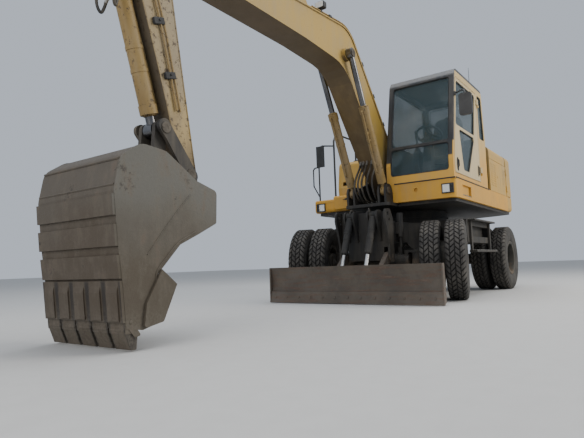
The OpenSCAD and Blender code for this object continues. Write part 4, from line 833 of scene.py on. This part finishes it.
# Undercarriage: bearing bolts, step grips, hoses and brake lines
ring = circle_of(nut(0.011, 0.012, (0.575, 0, 1.262), UP), 44, (0, 0, 1.262), UP)
piece("bolts_bearing", ring, "chassis", GREASE)
shapes, half_bar = [], 0.54
bar_outline = [(-0.002, -0.002), (0.002, -0.002), (0.002, 0.006), (-0.002, 0.006)]
for s in (-1, 1):
    for z, last in ((1.090, 1.176), (0.645, 1.186)):
        for y in s * np.linspace(1.092, last, 4):
            shapes.append(sweep([(-half_bar, y, z), (half_bar, y, z)], bar_outline))
            tooth = block((-0.008, y - 0.0035, z - 0.002), (0.008, y + 0.0035, z + 0.009), 0.002)
            shapes += [moved(tooth, (x, 0, 0)) for x in np.linspace(-half_bar, half_bar, 19)]
piece("grips_steps", shapes, "chassis", STEEL)
lines = [(36, 0.009, [(0.95, 0.30, 0.76), (1.10, 0.32, 0.70), (1.22, 0.36, 0.665), (1.30, 0.44, 0.655),
                      (1.315, 0.50, 0.632)]),
         (30, 0.010, [(1.642, 0.10, 1.12), (1.70, 0.12, 1.20), (1.76, 0.13, 1.24), (1.79, 0.15, 1.19)]),
         (30, 0.009, [(-0.95, 0.30, 0.80), (-1.05, 0.34, 0.76), (-1.16, 0.38, 0.68), (-1.25, 0.42, 0.635)])]
shapes = [tube(spline(np.multiply(line, (1, s, 1)), n), radius) for s in (-1, 1) for n, radius, line in lines]
piece("lines_chassis", shapes, "chassis", HOSE, sharp=60)

# Upper body: slats of its doors, caps, latches, bezels, mirror faces, lifting eyes and tail lamps
def panel(x0, x1, y, thick, z0, z1, bevel, radius=0.0, up=1):
    """A block in a plane of constant y, with half its thickness on each side."""
    return block((x0, y - thick / 2, z0), (x1, y + thick / 2, z1), bevel, radius, up)


for side, name in ((1, "left"), (-1, "right")):
    mesh = panel(-0.820, -0.480, side * 1.1615, 0.012, 1.670, 2.060, 0.003, 0.02)
    piece("mesh_side_door_" + name, [mesh], "side_door_" + name, RUBBER)
    shapes, skin = [], side * DOOR_SKIN
    for x in (-0.555, -0.745):
        for z in 1.706 + 0.038 * np.arange(10):
            slat = panel(x - 0.068, x + 0.068, skin, 0.003, z - 0.016, z + 0.004, 0.001, up=2)
            shapes.append(turned(slat, (1, 0, 0), (x, skin, z + 0.004), -side * 0.35))
    shapes.append(panel(-1.440, -1.260, side * 1.1845, 0.004, 1.760, 2.060, 0.0015, 0.012))
    shapes += [panel(-1.430, -1.270, side * 1.187, 0.004, z, z + 0.006, 0.001, up=2)
               for z in 1.785 + 0.022 * np.arange(12)]
    shapes += [panel(-0.955, -0.885, skin, 0.006, 1.84, 1.90, 0.003, 0.012),
               button(0.013, 0.004, 0.009, 0.006, (-0.92, side * 1.186, 1.87), (0, side, 0), 20)]
    piece("slats_side_door_" + name, shapes, "side_door_" + name, YELLOW)

filler = [(0, 0), (0.060, 0), (0.060, 0.014), (0.046, 0.018), (0.046, 0.045), (0.040, 0.052), (0, 0.052)]
shapes = [lathe(filler, (0.62, -0.62, 2.129), UP, 36)]
shapes += circle_of(block((0.663, -0.626, 2.148), (0.669, -0.614, 2.176), 0.002), 12, (0.62, -0.62, 2.13), UP)
shapes += [block((0.853, -0.715, z), (0.893, -0.545, z + 0.004), 0.001) for z in (1.748, 1.760, 1.772, 1.784)]
piece("cap_tank", shapes, "upper", RUBBER)
shapes = [block((1.098, -0.78, 1.36), (1.106, -0.37, 1.54), 0.003, 0.02, 0),
          block((1.0185, -1.165, 1.485), (1.024, -0.825, 1.520), 0.002, 0.01, 0),
          block((-0.33, -0.803, 1.66), (0.86, -0.7985, 2.05), 0.002, 0.03, 1)]
piece("lids_boxes", shapes, "upper", BAND)
shapes = [block((1.104, -0.60, 1.49), (1.118, -0.55, 1.515), 0.003, 0.006, 0)]
shapes += [disc(0.008, 0.010, (1.105, y, 1.50), (1, 0, 0)) for y in (-0.62, -0.53)]
piece("latches", shapes, "upper", RUBBER)
shapes = [disc(0.014, 0.006, (x, y, 2.329), UP, 16) for x in (-1.30, -1.00) for y in (-0.45, 0.45)]
piece("bumps_hood", shapes, "hood", RUBBER)
shapes = []
for x, y0, y1, z0, z1 in ((CAB_FRONT, 1.010, 1.150, 1.400, 1.510), (1.020, -1.150, -1.010, 1.360, 1.470)):
    shapes += [block((x, y0 - 0.010, z), (x + 0.022, y1 + 0.010, z + 0.014), 0.002) for z in (z0 - 0.010, z1 - 0.004)]
    shapes += [block((x, y, z0 + 0.001), (x + 0.022, y + 0.012, z1 - 0.001), 0.002) for y in (y0 - 0.009, y1 - 0.003)]
    outer = y1 - 0.045 if y0 > 0 else y0 + 0.004
    shapes.append(block((x + 0.001, outer, z0 + 0.005), (x + 0.021, outer + 0.041, z1 - 0.005), 0.002))
piece("bezels_lamps", shapes, "upper", RUBBER)
shapes = [block((1.1645, 1.265, 2.440), (1.173, 1.407, 2.700), 0.002, 0.03, 0),
          block((0.9715, -1.140, 2.095), (0.980, -1.020, 2.415), 0.002, 0.01, 0)]
piece("faces_mirrors", shapes, "upper", MIRROR)
lift = [(-1.75, 2.325), (-1.75, 2.365), (-1.66, 2.365), (-1.66, 2.325)]
shapes = [tube(bent(in_plane(lift, y), 0.03), 0.011) for y in (-0.75, 0.75)]
piece("eyes_counterweight", shapes, "upper", YELLOW, 40)
TAIL_R, TAIL_Y = 2.15, 0.86
tail_x = -math.sqrt(TAIL_R ** 2 - TAIL_Y ** 2)
shapes = [block((tail_x - 0.026, y - 0.07, 1.42), (tail_x + 0.026, y + 0.07, 1.50), 0.003, 0.01, 0)
          for y in (-TAIL_Y, TAIL_Y)]
piece("lamps_tail", shapes, "upper", RED)

# Grip in the recess of the band, below the door
shapes = [block((0.690, 1.163, 1.378), (1.060, 1.186, 1.384), 0.001)]
shapes += [block((x - 0.004, 1.163, 1.383), (x + 0.004, 1.186, 1.391), 0.001) for x in np.linspace(0.70, 1.05, 16)]
piece("grip_band", shapes, "upper", STEEL)


# Cab: rubber seals round each pane, door lip and handles, roof, seam, antenna and inner parts
def closed_outline(corners, radius):
    """Corner curves joined into a loop."""
    p = np.asarray(corners, float)
    return np.vstack([corner_curve(a, b, c, radius, 6) for a, b, c in zip(np.roll(p, 1, 0), p, np.roll(p, -1, 0))])


def front_x(z):
    """The cab's front face leans back above its foot."""
    return CAB_FRONT - max(0.0, z - LEAN_FOOT) * CAB_LEAN / LEAN_RISE


def seal(corners, round_off=0.04, radius=0.008):
    """A rubber bead round a pane."""
    return tube(closed_outline(corners, round_off), radius, 8, True)


def side_seal(y, low_rear, low_front, high_rear, high_front, z0, z1, round_off):
    """Inside a window, in millimetres: the ends of its lower and upper edge, its heights and its corner radius."""
    t = 4
    corners = [(low_rear + t, z0 + t), (low_front - t, z0 + t), (high_front - t, z1 - t), (high_rear + t, z1 - t)]
    return seal([(x / 1000, y, z / 1000) for x, z in corners], round_off / 1000)


seals = [side_seal(GLASS_Y, -275, -5, -225, -5, 2350, 3030, 40),
         side_seal(0.238, -220, 1190, -180, 1050, 2180, 3020, 50)]
for z0, z1, inset in ((1.704, 2.081, 0.012), (2.114, 3.026, 0.014)):
    seals.append(seal([(front_x(z) - inset, y, z) for y, z in ((0.289, z0), (1.107, z0), (1.107, z1), (0.289, z1))],
                      radius=0.010))
rear = [(CAB_REAR + 0.012, y, z) for y, z in ((0.319, 2.424), (1.077, 2.424), (1.077, 3.016), (0.319, 3.016))]
piece("seals_cab", seals + [seal(rear)], "upper", RUBBER, 40)
seals = [side_seal(GLASS_Y, *window) for window in ((280, 1136, 130, 1003, 2340, 2985, 40),
                                                    (620, 880, 270, 1000, 1740, 2300, 45))]
piece("seals_door", seals, "cab_door", RUBBER, 40)
edge = CAB_FRONT - 0.078
corners = [(0.077, 1.676), (edge, 1.676), (edge, LEAN_FOOT), (front_x(3.04) - 0.078, 3.024), (0.077, 3.024)]
lip = tube(closed_outline(in_plane(corners, CAB_OUT), 0.03), 0.006, 6, True)
piece("lip_door", [lip], "cab_door", DOOR, 40)


def grip(x, out, rows, bend, radius):
    """A bent bar that stands off the door, with its four heights from the top down."""
    path = [(x, y, z) for y, z in zip((CAB_DOOR_Y, out, out, CAB_DOOR_Y), rows)]
    return tube(bent(path, bend), radius)


recess = oval(1.150, CAB_DOOR_Y, 1.790, 0.030, 0.086)
handle = [tube(recess, 0.007, 8, True),
          block((1.128, 1.166, 1.715), (1.172, 1.174, 1.865), 0.003, 0.021, 1),
          grip(1.150, 1.190, (1.850, 1.842, 1.760, 1.750), 0.012, 0.007),
          block((0.138, 1.168, 1.740), (0.182, 1.175, 1.912), 0.003, 0.018, 1),
          grip(0.160, 1.188, (1.890, 1.880, 1.772, 1.762), 0.010, 0.006)]
piece("handle_door", handle, "cab_door", RUBBER, 40)
roof = [block((-0.20, 0.330, 3.150), (0.92, 1.066, 3.166), 0.006, 0.08),
        block((0.10, 0.40, 3.164), (0.66, 0.996, 3.176), 0.005, 0.06)]
gutter = in_plane([(-0.27, 3.085), (0.92, 3.085), (1.045, 3.02)], GLASS_Y)
piece("roof_cab", roof + [tube(bent(gutter, 0.05), 0.009, 8)], "upper", CAB, 35)
seam = [block((-0.325, 1.188, 1.583), (1.330, 1.196, 1.600), 0.003),
        block((1.334, 0.330, 1.583), (1.343, 1.184, 1.600), 0.003)]
piece("seam_cab", seam, "upper", RUBBER)
mast = [tube([(0.20, 1.13, 3.145), (0.198, 1.13, 3.20), (0.19, 1.13, 3.42)], [0.006, 0.004, 0.0025], 8),
        lathe([(0, 0), (0.016, 0), (0.012, 0.022), (0, 0.024)], (0.20, 1.13, 3.143), UP, 16)]
piece("antenna", mast, "upper", RUBBER, sharp=40)
SEAT_Y = (CAB_IN + CAB_OUT) / 2
inside = [block((0.93, SEAT_Y + 0.28, 2.28), (0.965, SEAT_Y + 0.43, 2.50), 0.005, 0.012, 0),
          tube([(1.00, SEAT_Y + 0.35, 1.68), (0.98, SEAT_Y + 0.355, 2.00), (0.955, SEAT_Y + 0.355, 2.30)], 0.011, 8)]
knob = [(0, 0), (0.020, 0.004), (0.024, 0.03), (0.020, 0.07), (0.027, 0.10), (0.024, 0.125), (0.012, 0.14), (0, 0.142)]
boot = [(0, 0), (0.05, 0), (0.045, 0.012), (0.048, 0.020), (0.034, 0.032), (0.037, 0.040), (0.018, 0.06), (0, 0.06)]
for y in (SEAT_Y - 0.31, SEAT_Y + 0.31):
    inside += [lathe(knob, (0.54, y, 2.36), (0.1, 0, 1), 18), lathe(boot, (0.54, y, 2.179), UP, 20)]
piece("inside_controls", inside, "upper", PLASTIC, 35)


def cushion(centre, half, power, shear, hollow):
    """Superellipsoid: each axis is half times a signed power of cosine or sine; x leans with z by the shear,
    and the sitting side sinks by the hollow times a Gaussian across the width."""
    u, v = np.meshgrid(np.linspace(-np.pi / 2, np.pi / 2, 33), around(64), indexing="ij")
    cu, su, cv, sv = (np.sign(q) * np.abs(q) ** power for q in (np.cos(u), np.sin(u), np.cos(v), np.sin(v)))
    x, y, z = half[0] * cu * cv, half[1] * cu * sv, half[2] * su
    dip = hollow * np.exp(-(y / (0.45 * half[1])) ** 2)
    if half[2] < half[0]:
        z = z - dip * (z > 0)
    else:
        x = x - dip * (x > 0)
    x = x + shear * z
    return np.stack([x + centre[0], y + centre[1], z + centre[2]], -1), False, True


pads = [cushion((0.31, SEAT_Y, 2.024), (0.248, 0.238, 0.064), 0.42, 0.0, 0.012),
        cushion((-0.010, SEAT_Y, 2.395), (0.064, 0.228, 0.375), 0.42, -0.125, 0.012)]
seat = piece("seat_pads", pads, "upper", CLOTH, 60)
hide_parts("seat_cushions")

# Floor and soft light
ground = np.array([[(x, y, 0.0) for y in (-60, 60)] for x in (-60, 60)], float)
pale = plain("floor_pale", (0.50, 0.495, 0.48), 0.8, 40, other=(0.485, 0.48, 0.465))
floor = piece("floor", [(ground, False, False)], None, pale)
world = bpy.data.worlds.new("soft sky")
world.use_nodes = True
world.node_tree.nodes["Background"].inputs["Color"].default_value = (0.80, 0.88, 1.0, 1)
world.node_tree.nodes["Background"].inputs["Strength"].default_value = 0.65
bpy.context.scene.world = world
for name, at, aim, size, power, tint in (
        ("sky_panel", (1.0, 1.0, 11.0), (1.5, 0, 1.8), 9, 900, (0.95, 0.97, 1.0)),
        ("front_panel", (13.0, 1.0, 5.0), (3.0, 0, 1.5), 7, 420, (1.0, 0.96, 0.92)),
        ("left_panel", (-3.5, 11.0, 6.5), (0.8, 0.5, 1.7), 7, 1150, (1.0, 0.94, 0.84))):
    light = bpy.data.lights.new(name, "AREA")
    light.size, light.energy, light.color = size, power, tint
    z = unit(np.subtract(at, aim))
    x = unit(np.cross(UP, z))
    add_placed(name, light, x, np.cross(z, x), z, at)
